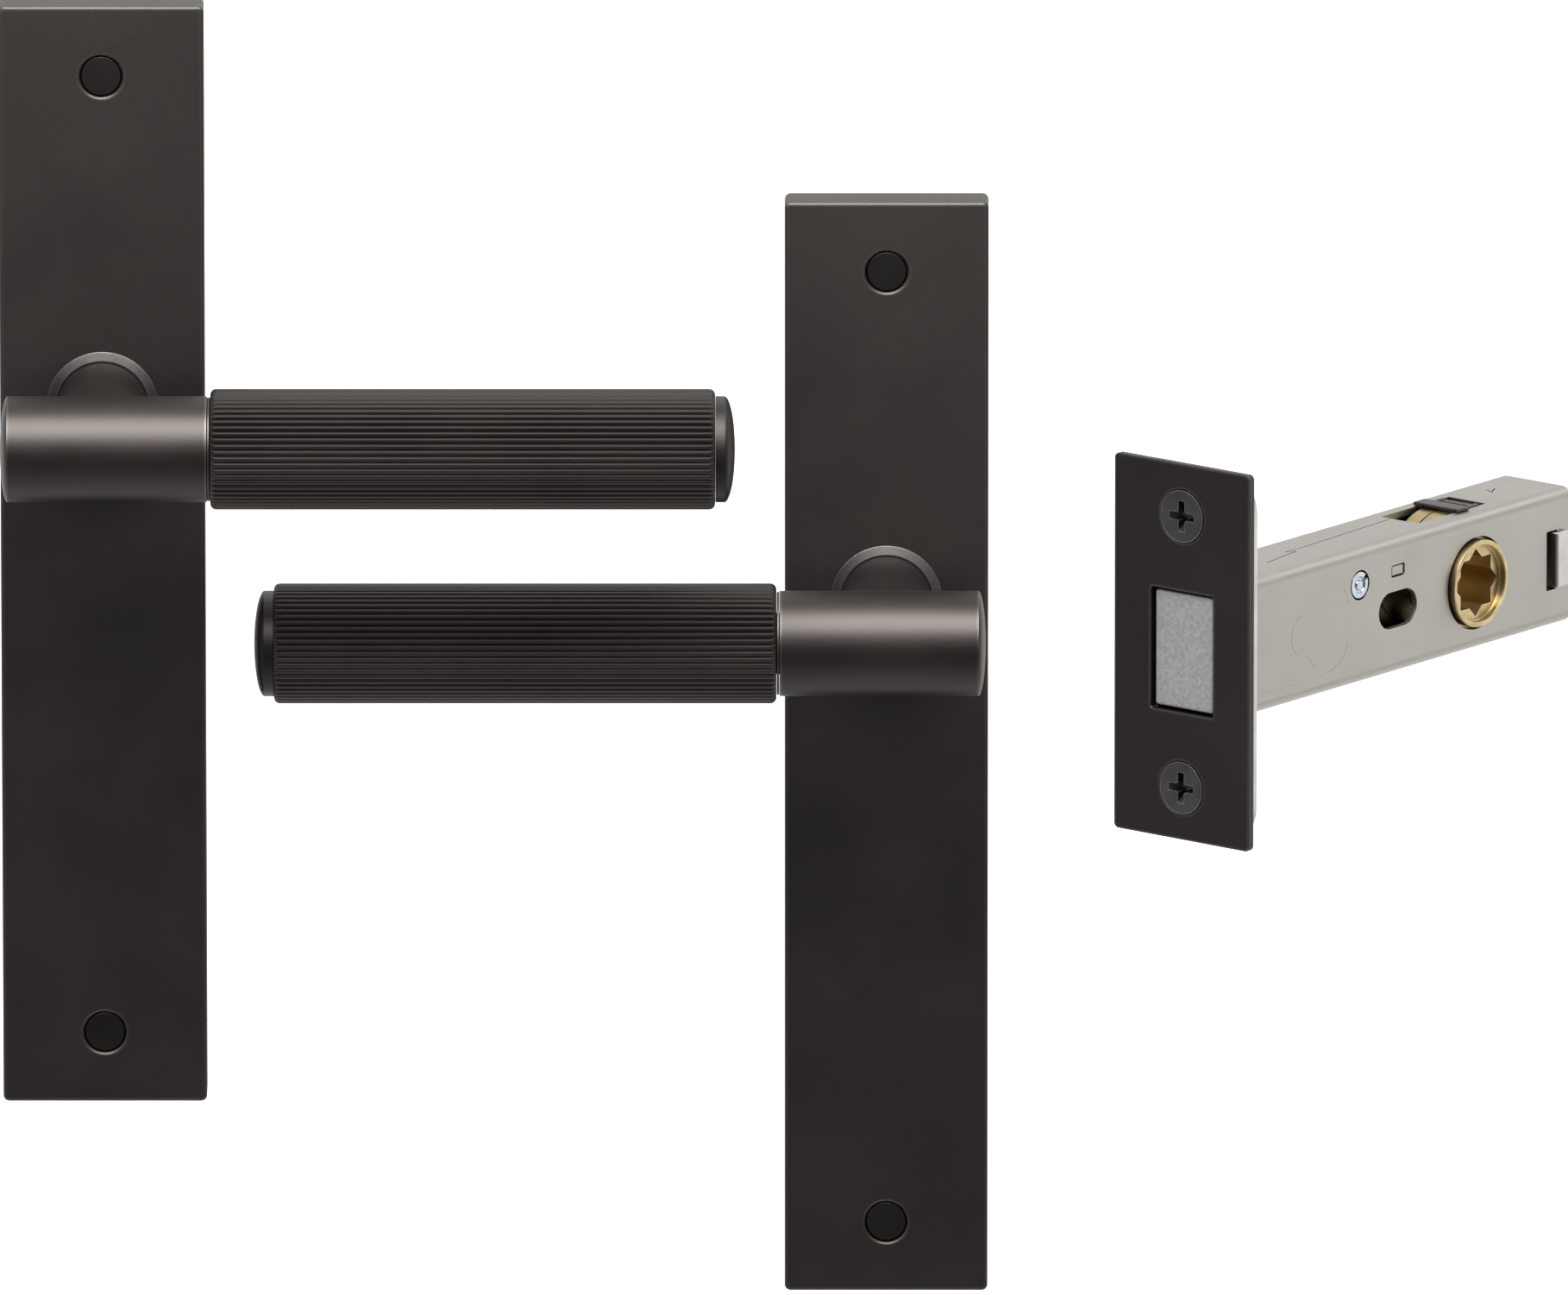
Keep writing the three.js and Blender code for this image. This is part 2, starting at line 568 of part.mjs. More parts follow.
const guidePin = () => atPin(PIN.radius, -CASE.width / 2 + FIT, CASE.width / 2 - FIT);
const tieBar = () => tieBlock(CASE.width / 2 - 0.1, 0.15);

// ---- Latch: the hub and the bolt -------------------------------------------------------------

// Half of the split hub: a body with a ring that turns in the case's side, lugs that reach up and
// down for the bolt's link, and an eight-pointed hole that takes the spindle square or diagonally.
function hubCam(side) {
  const { ring: ringRadius, body, proud, square, mouth, mouthDepth } = HUB;
  const [inner, wall, out] = [0.15, CASE.width / 2 - CASE.wall - 0.15, CASE.width / 2 + proud];
  const [start, end] = [90 - LUG.rear, 90 + LUG.front].map(THREE.MathUtils.degToRad);
  const lug = new THREE.Shape();
  lug.lineTo(LUG.radius * Math.cos(start), LUG.radius * Math.sin(start));
  lug.absarc(0, 0, LUG.radius, start, end);
  lug.closePath();
  const parts = [
    alongX(rod(body, inner, wall)),
    alongX(rod(ringRadius, inner, out)),
    prismX(lug, inner, LUG.width, 3),
    prismX(lug, inner, LUG.width, 3).rotateX(Math.PI),
  ];
  const half = square / 2;
  const bore = block([-1, -half, -half], [out + 1, half, half]);
  const turnedBore = bore.clone().rotateX(Math.PI / 4);
  const cam = cut(join(...parts), bore, turnedBore, alongX(rod(mouth, out - mouthDepth, out + 1)));
  return closed(cam.scale(side, 1, 1)).translate(0, HUB.y, 0);
}

// The spring-steel saddle over the two cams: its front bar lies across the case's window, its legs
// and its lower rear strap hang inside.
function hubSaddle() {
  const { wall, outside, wings, low, top, from, to, bar, strap } = SADDLE;
  const seat = CASE.height / 2 + FIT;
  const parts = [
    block([-wings, from, seat], [wings, from + bar, top]),
    block([-outside, to - strap, seat - wall], [outside, to, seat]),
  ];
  for (const x of [-outside, outside - wall]) {
    parts.push(block([x, from, low], [x + wall, to, seat + 0.2]));
  }
  return join(...parts);
}

function bolt() {
  const { width, height, corner, front, rear, bore, face } = BOLT;
  const bar = prismY(roundedRectangle(width, height, corner), front, rear);
  return cut(bar, rod(bore, front + face, rear + 1));
}

// The magnet behind the bolt's face, that draws the bolt out to its strike.
const boltMagnet = () => {
  const from = BOLT.front + BOLT.face + 0.1;
  return rod(BOLT.bore - 0.1, from, from + MAGNET_LENGTH);
};

// The steel cage behind the bolt: a web on the bolt, four rails that pass the hub, and two ears.
function boltLink() {
  const { web, rail, inside, outside, top, ears, rear } = LINK;
  const front = BOLT.rear + 0.1;
  const low = top - rail;
  const stem = BOLT.front + BOLT.face + MAGNET_LENGTH + 1;
  const parts = [
    block([-outside, front, -top], [outside, front + web, top]),
    rod(BOLT.bore - 0.15, stem, front + 1),
  ];
  for (const z of [-top, low]) {
    for (const x of [-outside, inside]) {
      parts.push(block([x, front + 1, z], [x + outside - inside, rear, z + rail]));
    }
    parts.push(block([-outside, ears, z], [outside, rear, z + rail]));
  }
  return join(...parts);
}

// The light spring that draws the bolt back flush.
function boltSpring() {
  const { from, to, radius, wire: thickness, turns, z } = BOLT_SPRING;
  const perTurn = 8;
  const count = turns * perTurn;
  const points = [];
  for (let i = 0; i <= count; i += 1) {
    const angle = (i / perTurn) * 2 * Math.PI;
    const along = from + ((to - from) * i) / count;
    points.push(new THREE.Vector3(radius * Math.cos(angle), along, radius * Math.sin(angle)));
  }
  return wire(new THREE.CatmullRomCurve3(points), thickness, count).translate(0, 0, z);
}

function latch() {
  const group = new THREE.Group();
  const add = (name, geometry, finish) => group.add(mesh(name, geometry, finish));
  add('face_plate', facePlate(), bronze);
  add('forend', forend(), stainless);
  add('face_screw_upper', faceScrew(1), bronze);
  add('face_screw_lower', faceScrew(-1), bronze);
  add('case_body', caseBody(), zincSteel);
  add('end_clip', endClip(), stainless);
  add('guide_block', guideBlock(), nylon);
  add('guide_pin', guidePin(), blueZinc);
  add('tie_bar', tieBar(), zincSteel);
  add('hub_cam_left', hubCam(-1), brass);
  add('hub_cam_right', hubCam(1), brass);
  add('hub_saddle', hubSaddle(), springSteel);
  add('bolt', bolt(), castBolt);
  add('bolt_magnet', boltMagnet(), magnet);
  add('bolt_link', boltLink(), zincSteel);
  add('bolt_spring', boltSpring(), springSteel);
  return group;
}

// ---- The set ---------------------------------------------------------------------------------

const leftHandle = handle('left');
leftHandle.add(mesh('spindle', spindle(), zincSteel));
leftHandle.scale.setScalar(HANDLE_SIZE);

const rightHandle = handle('right');
rightHandle.scale.set(-HANDLE_SIZE, HANDLE_SIZE, HANDLE_SIZE);
rightHandle.position.set(RIGHT_HANDLE.x, RIGHT_HANDLE.y, RIGHT_HANDLE.z);

const tubularLatch = latch();
tubularLatch.scale.setScalar(LATCH_SIZE);
tubularLatch.rotation.z = THREE.MathUtils.degToRad(LATCH.turn);
tubularLatch.position.set(LATCH.x, LATCH.y, LATCH.z);

const handleSet = new THREE.Group();
handleSet.add(leftHandle, rightHandle, tubularLatch);

export default handleSet;
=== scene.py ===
"""The looks of a lever door handle set and its tubular latch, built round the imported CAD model.

A piece is made once, in millimetres, in the frame of the left handle (origin at the centre of the
plate's back) or of the latch (x across it, y inwards from its face, z up). It is then placed in
the model's frame in metres, and mirrored for the right handle.
"""

import itertools
import json
import math

import bmesh
import bpy
import numpy as np
from mathutils import Matrix, Vector

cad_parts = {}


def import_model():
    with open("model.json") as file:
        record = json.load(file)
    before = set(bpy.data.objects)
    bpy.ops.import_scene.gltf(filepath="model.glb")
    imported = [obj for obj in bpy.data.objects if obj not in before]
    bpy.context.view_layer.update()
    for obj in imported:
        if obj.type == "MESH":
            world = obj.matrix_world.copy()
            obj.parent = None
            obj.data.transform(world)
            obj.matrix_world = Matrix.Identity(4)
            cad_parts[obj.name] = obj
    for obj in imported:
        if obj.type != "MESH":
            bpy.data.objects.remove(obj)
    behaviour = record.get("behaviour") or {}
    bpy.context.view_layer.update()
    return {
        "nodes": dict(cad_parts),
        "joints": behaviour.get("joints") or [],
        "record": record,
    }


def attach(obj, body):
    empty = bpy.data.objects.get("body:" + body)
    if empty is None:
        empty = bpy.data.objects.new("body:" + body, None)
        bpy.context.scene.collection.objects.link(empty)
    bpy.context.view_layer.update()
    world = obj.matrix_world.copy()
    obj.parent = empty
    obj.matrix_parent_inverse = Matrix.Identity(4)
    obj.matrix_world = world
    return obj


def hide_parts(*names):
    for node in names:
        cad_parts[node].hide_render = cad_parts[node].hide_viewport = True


# ---- Driving dimensions, in millimetres ---------------------------------------------------------

MM = 0.001
HANDLE_SIZE = 0.85        # the handle is drawn as the 220 mm pattern and made at this share of it
LATCH_SIZE = 1.115        # and the latch as the 57 mm pattern
ROUND = 96                # facets round a turned piece
SHARP = math.radians(32)  # an edge that turns more than this stays crisp

PLATE = {"width": 40, "height": 220, "front": -9, "corner": 1.2, "edge": 0.6}
SPINDLE_HEIGHT = 30
FIXING_HEIGHT = 96
CAP = {"hole": 4.1, "radius": 3.85, "front": -8.4, "back": -7.25, "seat": -4.2}
FIXING_SCREW = {"head": 4.1, "front": -7.2, "seat": -4.25, "shank": 2.5, "end": 14, "hex": 2.3,
                "hex_floor": -5.15, "thread": 0.3, "pitch": 0.8}
CASSETTE = {"radius": 15.4, "floor": -7, "width": 33.6, "height": 45.6, "corner": 6, "hole": 8,
            "ledge": -1.45, "front": -1.4, "back": -0.1, "screw_hole": 2.7, "room": 0.2}
COVER_SCREW = {"height": 19.3, "head": 2.55, "front": -5.9, "seat": -1.3, "back": -0.15,
               "shank": 1.4, "slot": 0.3}
PEG = {"radius": 1.4, "orbit": 13.6, "from": -8, "to": -1.7}
BUSH = {"hole": 10.2, "inner": 9.1, "outer": 10.1, "flange": 12, "front": -8.9, "floor": -6.95,
        "back": -6.4}

NECK = {"radius": 9, "stub": 7.5, "flat": 6.2, "shoulder": -3.75, "end": -0.6, "fillet": 1}
COLLAR = {"inner": 9.1, "outer": 10.95, "crest": 9.3, "rise": 0.75}
GRIP_AXIS = -45.5
HEAD = {"radius": 10.3, "from": -19.3, "to": 21, "dome": 1.5}
JOINT_RING = {"radius": 10.1, "from": 21.05, "to": 21.55}
SLEEVE = {"radius": 11.75, "from": 21.6, "to": 119.8, "bore": 6.05, "end": 1.2, "drop": 1.2}
FLUTES = {"count": 58, "depth": 0.45, "steps": 8}
END_CAP = {"radius": 10.35, "from": 119.85, "to": 123.65, "dome": 2.1}
SPINDLE = {"half": 4.7, "from": -31.5, "to": 36}
SOCKET = {"half": 4.75, "front": -32}
GRUB = {"y": -14.5, "radius": 2.5, "inner": -4.8, "outer": -8.6}
RETURN_SPRING = {"wire": 0.6, "radius": 10.8, "front": -5.7, "turns": 1.05, "start": 60}

FACE_PLATE = {"width": 25.4, "height": 57.15, "thickness": 1.2, "corner": 0.8}
FOREND = {"width": 24.8, "height": 56.5, "front": 1.25, "back": 2.35, "corner": 6}
BOLT_OPENING = (11.7, 18.5)
FACE_SCREW = {"height": 20.65, "head": 4, "shank": 2, "end": 14, "front": -0.12, "thread": 0.35,
              "pitch": 1.0, "thread_from": 2.8}
COUNTERSINK = {"wide": 4.62, "narrow": 2.15, "front": -0.5, "floor": 2.1, "end": 4}
# The face screw's cross: half length and half width of an arm, each at its mouth and its floor
RECESS = {"reach": (2.6, 1.1), "blade": (0.62, 0.35), "front": -0.5, "floor": 1.7}
CASE = {"width": 14.1, "height": 20.7, "wall": 1, "corner": 2, "front": 1.25, "rear": 86}
HUB = {"y": 62.4, "ring": 6.6, "body": 7.5, "proud": 0.9, "half": 3.7, "mouth": 5.85, "dish": 1.1,
       "gap": 0.15}
LUG = {"radius": 10.2, "width": 2.5, "front": 50, "rear": 12}
SADDLE = {"wall": 0.7, "outside": 3.4, "wings": 4.3, "low": 7.7, "from": 61.4, "to": 67.6,
          "strap": 2.8, "rise": 0.55, "bridge": 1.2}
THROUGH_HOLE = {"y": 43.2, "z": -0.4, "length": 9.3, "height": 5.6}
PIN = {"y": 34, "z": 4.9, "radius": 2, "groove": (0.7, 0.8, 1.15, 1.3), "sunk": 0.25}
CLIP = {"web": 1.2, "leg": 0.9, "tab": 0.8, "tab_length": 3.3, "height": 14, "inset": 1.4}
TIE_BAR = {"y": 43.2, "z": 5.5, "length": 3.3, "height": 1.9, "room": 0.15}
REAR_SLOT = {"from": 79.5, "to": 82, "height": 9.1}
CAM_WINDOW = {"from": 52.6, "to": 69.2, "width": 7}
BOLT = {"width": 10.8, "height": 17.6, "front": 0.6, "rear": 23.6, "bore": 3.6, "nose": 2.4}
BOLT_SPRING = {"from": 26.8, "to": 37.4, "radius": 2.2, "wire": 0.3, "turns": 5, "z": -2.5}

# ---- Meshes -------------------------------------------------------------------------------------


def mesh_of(points, faces):
    """A mesh with its shared corners merged and its faces pointing out."""
    mesh = bpy.data.meshes.new("piece")
    mesh.from_pydata([tuple(map(float, p)) for p in points], [], faces)
    return tidied(mesh)


def tidied(mesh):
    work = bmesh.new()
    work.from_mesh(mesh)
    bmesh.ops.remove_doubles(work, verts=work.verts, dist=1e-4)
    bmesh.ops.recalc_face_normals(work, faces=work.faces)
    work.to_mesh(mesh)
    work.free()
    return mesh


def moved(mesh, x=0.0, y=0.0, z=0.0):
    mesh.transform(Matrix.Translation((x, y, z)))
    return mesh


def together(*meshes):
    """Several closed meshes as one."""
    work = bmesh.new()
    for mesh in meshes:
        work.from_mesh(mesh)
    joined = bpy.data.meshes.new("piece")
    work.to_mesh(joined)
    work.free()
    return joined


def baked(obj):
    """The object's mesh with its modifiers applied. The object is removed."""
    bpy.context.view_layer.update()
    shown = obj.evaluated_get(bpy.context.evaluated_depsgraph_get())
    mesh = bpy.data.meshes.new_from_object(shown)
    bpy.data.objects.remove(obj)
    return mesh


def shown(data):
    obj = bpy.data.objects.new("work", data)
    bpy.context.scene.collection.objects.link(obj)
    return obj


def carved(mesh, *tools, operation="DIFFERENCE"):
    work = shown(mesh)
    helpers = [shown(tool) for tool in tools]
    for helper in helpers:
        change = work.modifiers.new("cut", "BOOLEAN")
        change.operation = operation
        change.solver = "EXACT"
        change.object = helper
    result = baked(work)
    for helper in helpers:
        bpy.data.objects.remove(helper)
    return result


def softened(mesh, width, angle=40, segments=2):
    """The mesh with a small round on each edge that turns more than the angle."""
    work = shown(mesh)
    change = work.modifiers.new("round", "BEVEL")
    change.width = width
    change.segments = segments
    change.limit_method = "ANGLE"
    change.angle_limit = math.radians(angle)
    return baked(work)


def circle(radius, x=0.0, z=0.0, around=ROUND):
    turn = 2 * math.pi / around
    return [(x + radius * math.cos(i * turn), z + radius * math.sin(i * turn))
            for i in range(around)]


def rounded_box(width, height, corner, steps=6):
    points = []
    for quarter, (sx, sz) in enumerate([(1, 1), (-1, 1), (-1, -1), (1, -1)]):
        for i in range(steps + 1):
            angle = (quarter + i / steps) * math.pi / 2
            points.append((sx * (width / 2 - corner) + corner * math.cos(angle),
                           sz * (height / 2 - corner) + corner * math.sin(angle)))
    return points


def slab(outline, holes, front, back, edge=0.0):
    """A sheet in the x-z plane between two values of y, with rounded edges and with holes."""
    curve = bpy.data.curves.new("slab", "CURVE")
    curve.dimensions = "2D"
    curve.fill_mode = "BOTH"
    curve.extrude = (back - front) / 2 - edge
    curve.bevel_depth = edge
    curve.bevel_resolution = 2
    curve.offset = -edge
    for points in [outline] + [hole[::-1] for hole in holes]:
        spline = curve.splines.new("POLY")
        spline.points.add(len(points) - 1)
        spline.points.foreach_set("co", [c for x, z in points for c in (x, z, 0, 1)])
        spline.use_cyclic_u = True
    mesh = tidied(baked(shown(curve)))
    upright = Matrix(((1, 0, 0, 0), (0, 0, -1, (front + back) / 2), (0, 1, 0, 0), (0, 0, 0, 1)))
    mesh.transform(upright)
    return mesh


def sideways(mesh):
    """Turns a piece made in the x-z plane so that it lies in y-z, with its back at the larger x."""
    mesh.transform(Matrix(((0, 1, 0, 0), (1, 0, 0, 0), (0, 0, 1, 0), (0, 0, 0, 1))))
    mesh.flip_normals()
    return mesh


BLOCK_SIDES = [(0, 1, 3, 2), (4, 6, 7, 5), (0, 4, 5, 1), (2, 3, 7, 6), (0, 2, 6, 4), (1, 5, 7, 3)]


def block(low, high):
    """A box between two opposite corners."""
    return mesh_of(list(itertools.product(*zip(low, high))), BLOCK_SIDES)


def grid(rows, closed_along=False):
    """A tube through rings of points, capped at both ends unless it closes on itself."""
    count = len(rows[0])
    points = [p for row in rows for p in row]
    faces = []
    spans = len(rows) if closed_along else len(rows) - 1
    for i in range(spans):
        a, b = i * count, ((i + 1) % len(rows)) * count
        for j in range(count):
            k = (j + 1) % count
            faces.append((a + j, a + k, b + k, b + j))
    if not closed_along:
        faces.append(tuple(range(count)))
        faces.append(tuple(range((len(rows) - 1) * count, len(rows) * count)))
    return mesh_of(points, faces)


AROUND = {"X": (1, 2, 0), "Y": (2, 0, 1), "Z": (0, 1, 2)}   # two directions across, one along


def ring_of(radius, along, axis, around):
    first, second, third = AROUND[axis]
    ring = np.zeros((around, 3))
    angles = np.arange(around) * 2 * math.pi / around
    ring[:, first] = radius * np.cos(angles)
    ring[:, second] = radius * np.sin(angles)
    ring[:, third] = along
    return ring


def turned(profile, axis, around=ROUND):
    """A piece turned about an axis, from (radius, distance along) points. A profile that ends where
    it starts makes a ring."""
    is_ring = profile[0] == profile[-1]
    stations = profile[:-1] if is_ring else profile
    rows = [ring_of(max(radius, 1e-5), along, axis, around) for radius, along in stations]
    return grid(rows, closed_along=is_ring)


def eased(points, reach, steps=4):
    """The profile with each of its inner corners rounded, starting this far from the corner."""
    result = [points[0]]
    for before, corner, after in zip(points, points[1:], points[2:]):
        a, p, b = (Vector(q) for q in (before, corner, after))
        start = p + (a - p).normalized() * min(reach, (a - p).length * 0.45)
        end = p + (b - p).normalized() * min(reach, (b - p).length * 0.45)
        for i in range(steps + 1):
            t = i / steps
            q = start * (1 - t) ** 2 + p * 2 * t * (1 - t) + end * t * t
            result.append((q.x, q.y))
    return result + [points[-1]]


def rod(radius, start, end, axis, edge=0.0, around=ROUND):
    profile = [(0, start), (radius, start), (radius, end), (0, end)]
    return turned(eased(profile, edge) if edge else profile, axis, around)


def dome(radius, base, height, steps=16):
    """Profile points of a shallow dome, from its rim to the axis."""
    quarter = math.pi / 2
    return [(radius * math.cos(i * quarter / steps), base + height * math.sin(i * quarter / steps))
            for i in range(steps + 1)]


def threaded(radius, depth, pitch, start, end, axis="Y", around=32):
    """A screw's shank with its thread, tapered over its last pitch."""
    step = pitch / 6
    rows = []
    for i in range(int((end - start) / step) + 1):
        along = start + i * step
        row = ring_of(1.0, along, axis, around)
        phase = (along / pitch - np.arange(around) / around) % 1
        taper = min(1.0, 0.6 + 0.4 * (end - along) / pitch)
        reach = (radius - depth * np.abs(2 * phase - 1)) * taper
        across = list(AROUND[axis][:2])
        row[:, across] *= reach[:, None]
        rows.append(row)
    return grid(rows)


def tube_along(path, radius, sides=10):
    """Round wire through a row of points."""
    path = np.array(path, float)
    rows = []
    up = np.array((0.0, 1.0, 0.0))
    for i, point in enumerate(path):
        ahead = path[min(i + 1, len(path) - 1)] - path[max(i - 1, 0)]
        ahead /= np.linalg.norm(ahead)
        side = np.cross(ahead, up)
        side /= np.linalg.norm(side)
        over = np.cross(side, ahead)
        angles = np.arange(sides)[:, None] * 2 * math.pi / sides
        rows.append(point + radius * (np.cos(angles) * side + np.sin(angles) * over))
    return grid(rows)


def tapered(top, bottom, front, back):
    """A four-sided pit tool along y: half sizes (x, z) at its front and at its back."""
    rows = []
    for (half_x, half_z), y in ((top, front), (bottom, back)):
        corners = [(half_x, half_z), (-half_x, half_z), (-half_x, -half_z), (half_x, -half_z)]
        rows.append([(x, y, z) for x, z in corners])
    return grid(rows)


# ---- Handle pieces ------------------------------------------------------------------------------


def backplate():
    openings = [circle(CAP["hole"], 0, side * FIXING_HEIGHT) for side in (1, -1)]
    openings.append(circle(BUSH["hole"], 0, SPINDLE_HEIGHT))
    outline = rounded_box(PLATE["width"], PLATE["height"], PLATE["corner"])
    plate = slab(outline, openings, PLATE["front"], 0, PLATE["edge"])
    room = 2 * CASSETTE["room"]
    ledge = rounded_box(CASSETTE["width"] + room, CASSETTE["height"] + room, CASSETTE["corner"])
    recess = moved(rod(CASSETTE["radius"], CASSETTE["floor"], 1, "Y"), z=SPINDLE_HEIGHT)
    plate = carved(plate, recess, moved(slab(ledge, [], CASSETTE["ledge"], 1), z=SPINDLE_HEIGHT))
    peg = rod(PEG["radius"], PEG["from"], PEG["to"], "Y", around=32)
    extras = [moved(peg, z=SPINDLE_HEIGHT + PEG["orbit"])]
    shank, hole, seat = FIXING_SCREW["shank"] + 0.15, CAP["hole"] + 0.1, CAP["seat"]
    for side in (1, -1):
        section = [(shank, seat), (hole, seat), (hole, -0.01), (shank, -0.01), (shank, seat)]
        extras.append(moved(turned(section, "Y"), z=side * FIXING_HEIGHT))
    return together(plate, *extras)


def collar_ring():
    inner, outer, crest = COLLAR["inner"], COLLAR["outer"], COLLAR["crest"]
    base = PLATE["front"] + 0.3
    front = PLATE["front"] - COLLAR["rise"]
    slope = eased([(outer, base), (outer, PLATE["front"] - 0.12), (crest, front), (inner, front),
                   (inner, base)], 0.12)
    return moved(turned(slope + [slope[0]], "Y"), z=SPINDLE_HEIGHT)


def neck_bush():
    inner, outer, flange = BUSH["inner"], BUSH["outer"], BUSH["flange"]
    front, floor, back = BUSH["front"], BUSH["floor"], BUSH["back"]
    profile = [(inner, front), (outer, front), (outer, floor), (flange, floor), (flange, back),
               (inner, back), (inner, front)]
    return moved(turned(profile, "Y"), z=SPINDLE_HEIGHT)


def screw_cap(side):
    return moved(rod(CAP["radius"], CAP["front"], CAP["back"], "Y", 0.22), z=side * FIXING_HEIGHT)


def fixing_screw(side):
    head, front, seat = FIXING_SCREW["head"], FIXING_SCREW["front"], FIXING_SCREW["seat"]
    hexagon = rod(FIXING_SCREW["hex"], front - 1, FIXING_SCREW["hex_floor"], "Y", around=6)
    cap = carved(rod(head, front, seat, "Y", 0.3), hexagon)
    shank = threaded(FIXING_SCREW["shank"], FIXING_SCREW["thread"], FIXING_SCREW["pitch"], seat,
                     FIXING_SCREW["end"])
    return moved(together(cap, shank), z=side * FIXING_HEIGHT)


def cassette_cover():
    openings = [circle(CASSETTE["hole"])]
    openings += [circle(CASSETTE["screw_hole"], 0, side * COVER_SCREW["height"], 48)
                 for side in (1, -1)]
    outline = rounded_box(CASSETTE["width"], CASSETTE["height"], CASSETTE["corner"])
    sheet = slab(outline, openings, CASSETTE["front"], CASSETTE["back"], 0.12)
    return moved(sheet, z=SPINDLE_HEIGHT)


def cover_screw(side):
    front, seat, back = COVER_SCREW["front"], COVER_SCREW["seat"], COVER_SCREW["back"]
    head, shank, slot = COVER_SCREW["head"], COVER_SCREW["shank"], COVER_SCREW["slot"]
    profile = [(0, front), (shank, front), (shank, seat), (head, back), (0, back)]
    screw = carved(turned(profile, "Y", 48), block((-3, -0.7, -slot), (3, 1, slot)))
    return moved(screw, z=SPINDLE_HEIGHT + side * COVER_SCREW["height"])


def return_spring():
    radius, wire = RETURN_SPRING["radius"], RETURN_SPRING["wire"]
    start, sweep = math.radians(RETURN_SPRING["start"]), 2 * math.pi * RETURN_SPRING["turns"]
    steps = 64
    path = []
    for i in range(steps + 1):
        angle = start + sweep * i / steps
        along = RETURN_SPRING["front"] + (2 * wire + 0.08) * i / steps
        path.append((radius * math.cos(angle), along, radius * math.sin(angle)))
    return moved(tube_along(path, wire), z=SPINDLE_HEIGHT)


def neck():
    """The round neck, which flares into the underside of the round head."""
    radius, fillet = NECK["radius"], NECK["fillet"]
    rows = [ring_of(radius, NECK["shoulder"] - back, "Y", ROUND) for back in (0, 8)]
    for i in range(9):
        turn = i / 8 * math.pi / 2
        reach = radius + fillet * (1 - math.cos(turn))
        away = fillet * (1 - math.sin(turn)) - 0.05
        row = ring_of(reach, 0.0, "Y", ROUND)
        height = row[:, 2]
        row[:, 1] = GRIP_AXIS + np.sqrt(np.maximum(HEAD["radius"] ** 2 - height ** 2, 0)) + away
        rows.append(row)
    rows.append(ring_of(radius * 0.5, GRIP_AXIS, "Y", ROUND))
    return grid(rows)


def lever_body():
    half = SOCKET["half"]
    socket = block((-half, SOCKET["front"], -half), (half, 1, half))
    grub_hole = moved(rod(GRUB["radius"] + 0.1, -NECK["radius"] - 1, 0, "Z", around=32), y=GRUB["y"])
    post = carved(neck(), socket, grub_hole)
    stub = rod(NECK["stub"], NECK["shoulder"] - 1, NECK["end"], "Y", 0.3)
    flats = block((-NECK["flat"], -9, -9), (NECK["flat"], 9, 9))
    stub = carved(carved(stub, flats, operation="INTERSECT"), socket.copy())
    end = HEAD["from"] + HEAD["dome"]
    profile = [(0, HEAD["to"]), (HEAD["radius"], HEAD["to"])]
    profile = eased(profile + [(HEAD["radius"], 0)], 0.15) + dome(HEAD["radius"], end, -HEAD["dome"])
    head = moved(turned(profile, "X"), y=GRIP_AXIS)
    return moved(together(post, stub, head), z=SPINDLE_HEIGHT)


def at_grip(mesh):
    return moved(mesh, y=GRIP_AXIS, z=SPINDLE_HEIGHT)


def joint_ring():
    outer, inner = JOINT_RING["radius"], SLEEVE["bore"]
    start, end = JOINT_RING["from"], JOINT_RING["to"]
    profile = eased([(inner, start), (outer, start), (outer, end), (inner, end)], 0.2)
    return at_grip(turned(profile + [profile[0]], "X"))


def grip_sleeve():
    """The reeded sleeve: round ridges with a sharp valley between each two, and rounded ends."""
    steps = FLUTES["steps"]
    count = FLUTES["count"] * steps
    place = 2 * (np.arange(count) % steps) / steps - 1
    reach = SLEEVE["radius"] - FLUTES["depth"] * place ** 2
    insets = [SLEEVE["end"] * (1 - math.cos(i * math.pi / 10)) for i in range(6)]
    stations = [SLEEVE["from"] + d for d in insets] + [SLEEVE["to"] - d for d in reversed(insets)]
    rows = [ring_of(SLEEVE["bore"], SLEEVE["from"], "X", count)]
    for along in stations:
        inset = min(along - SLEEVE["from"], SLEEVE["to"] - along, SLEEVE["end"])
        shape = math.sqrt(1 - (1 - inset / SLEEVE["end"]) ** 2)
        limit = SLEEVE["radius"] - SLEEVE["drop"] * (1 - shape)
        row = ring_of(1.0, along, "X", count)
        row[:, 1:] *= np.minimum(reach, limit)[:, None]
        rows.append(row)
    rows.append(ring_of(SLEEVE["bore"], SLEEVE["to"], "X", count))
    return at_grip(grid(rows, closed_along=True))


def end_cap():
    radius, seat = END_CAP["radius"], END_CAP["from"]
    rim = END_CAP["to"] - END_CAP["dome"]
    return at_grip(turned([(0, seat), (radius, seat)] + dome(radius, rim, END_CAP["dome"]), "X"))


def grub_screw():
    blank = rod(GRUB["radius"], GRUB["outer"], GRUB["inner"], "Z", 0.3, 32)
    pit = rod(1.44, GRUB["outer"] - 1, GRUB["outer"] + 2.2, "Z", around=6)
    return moved(carved(blank, pit), y=GRUB["y"], z=SPINDLE_HEIGHT)


def spindle():
    half = SPINDLE["half"]
    bar = block((-half, SPINDLE["from"], -half), (half, SPINDLE["to"], half))
    return moved(softened(bar, 0.35), z=SPINDLE_HEIGHT)


# ---- Latch pieces -------------------------------------------------------------------------------


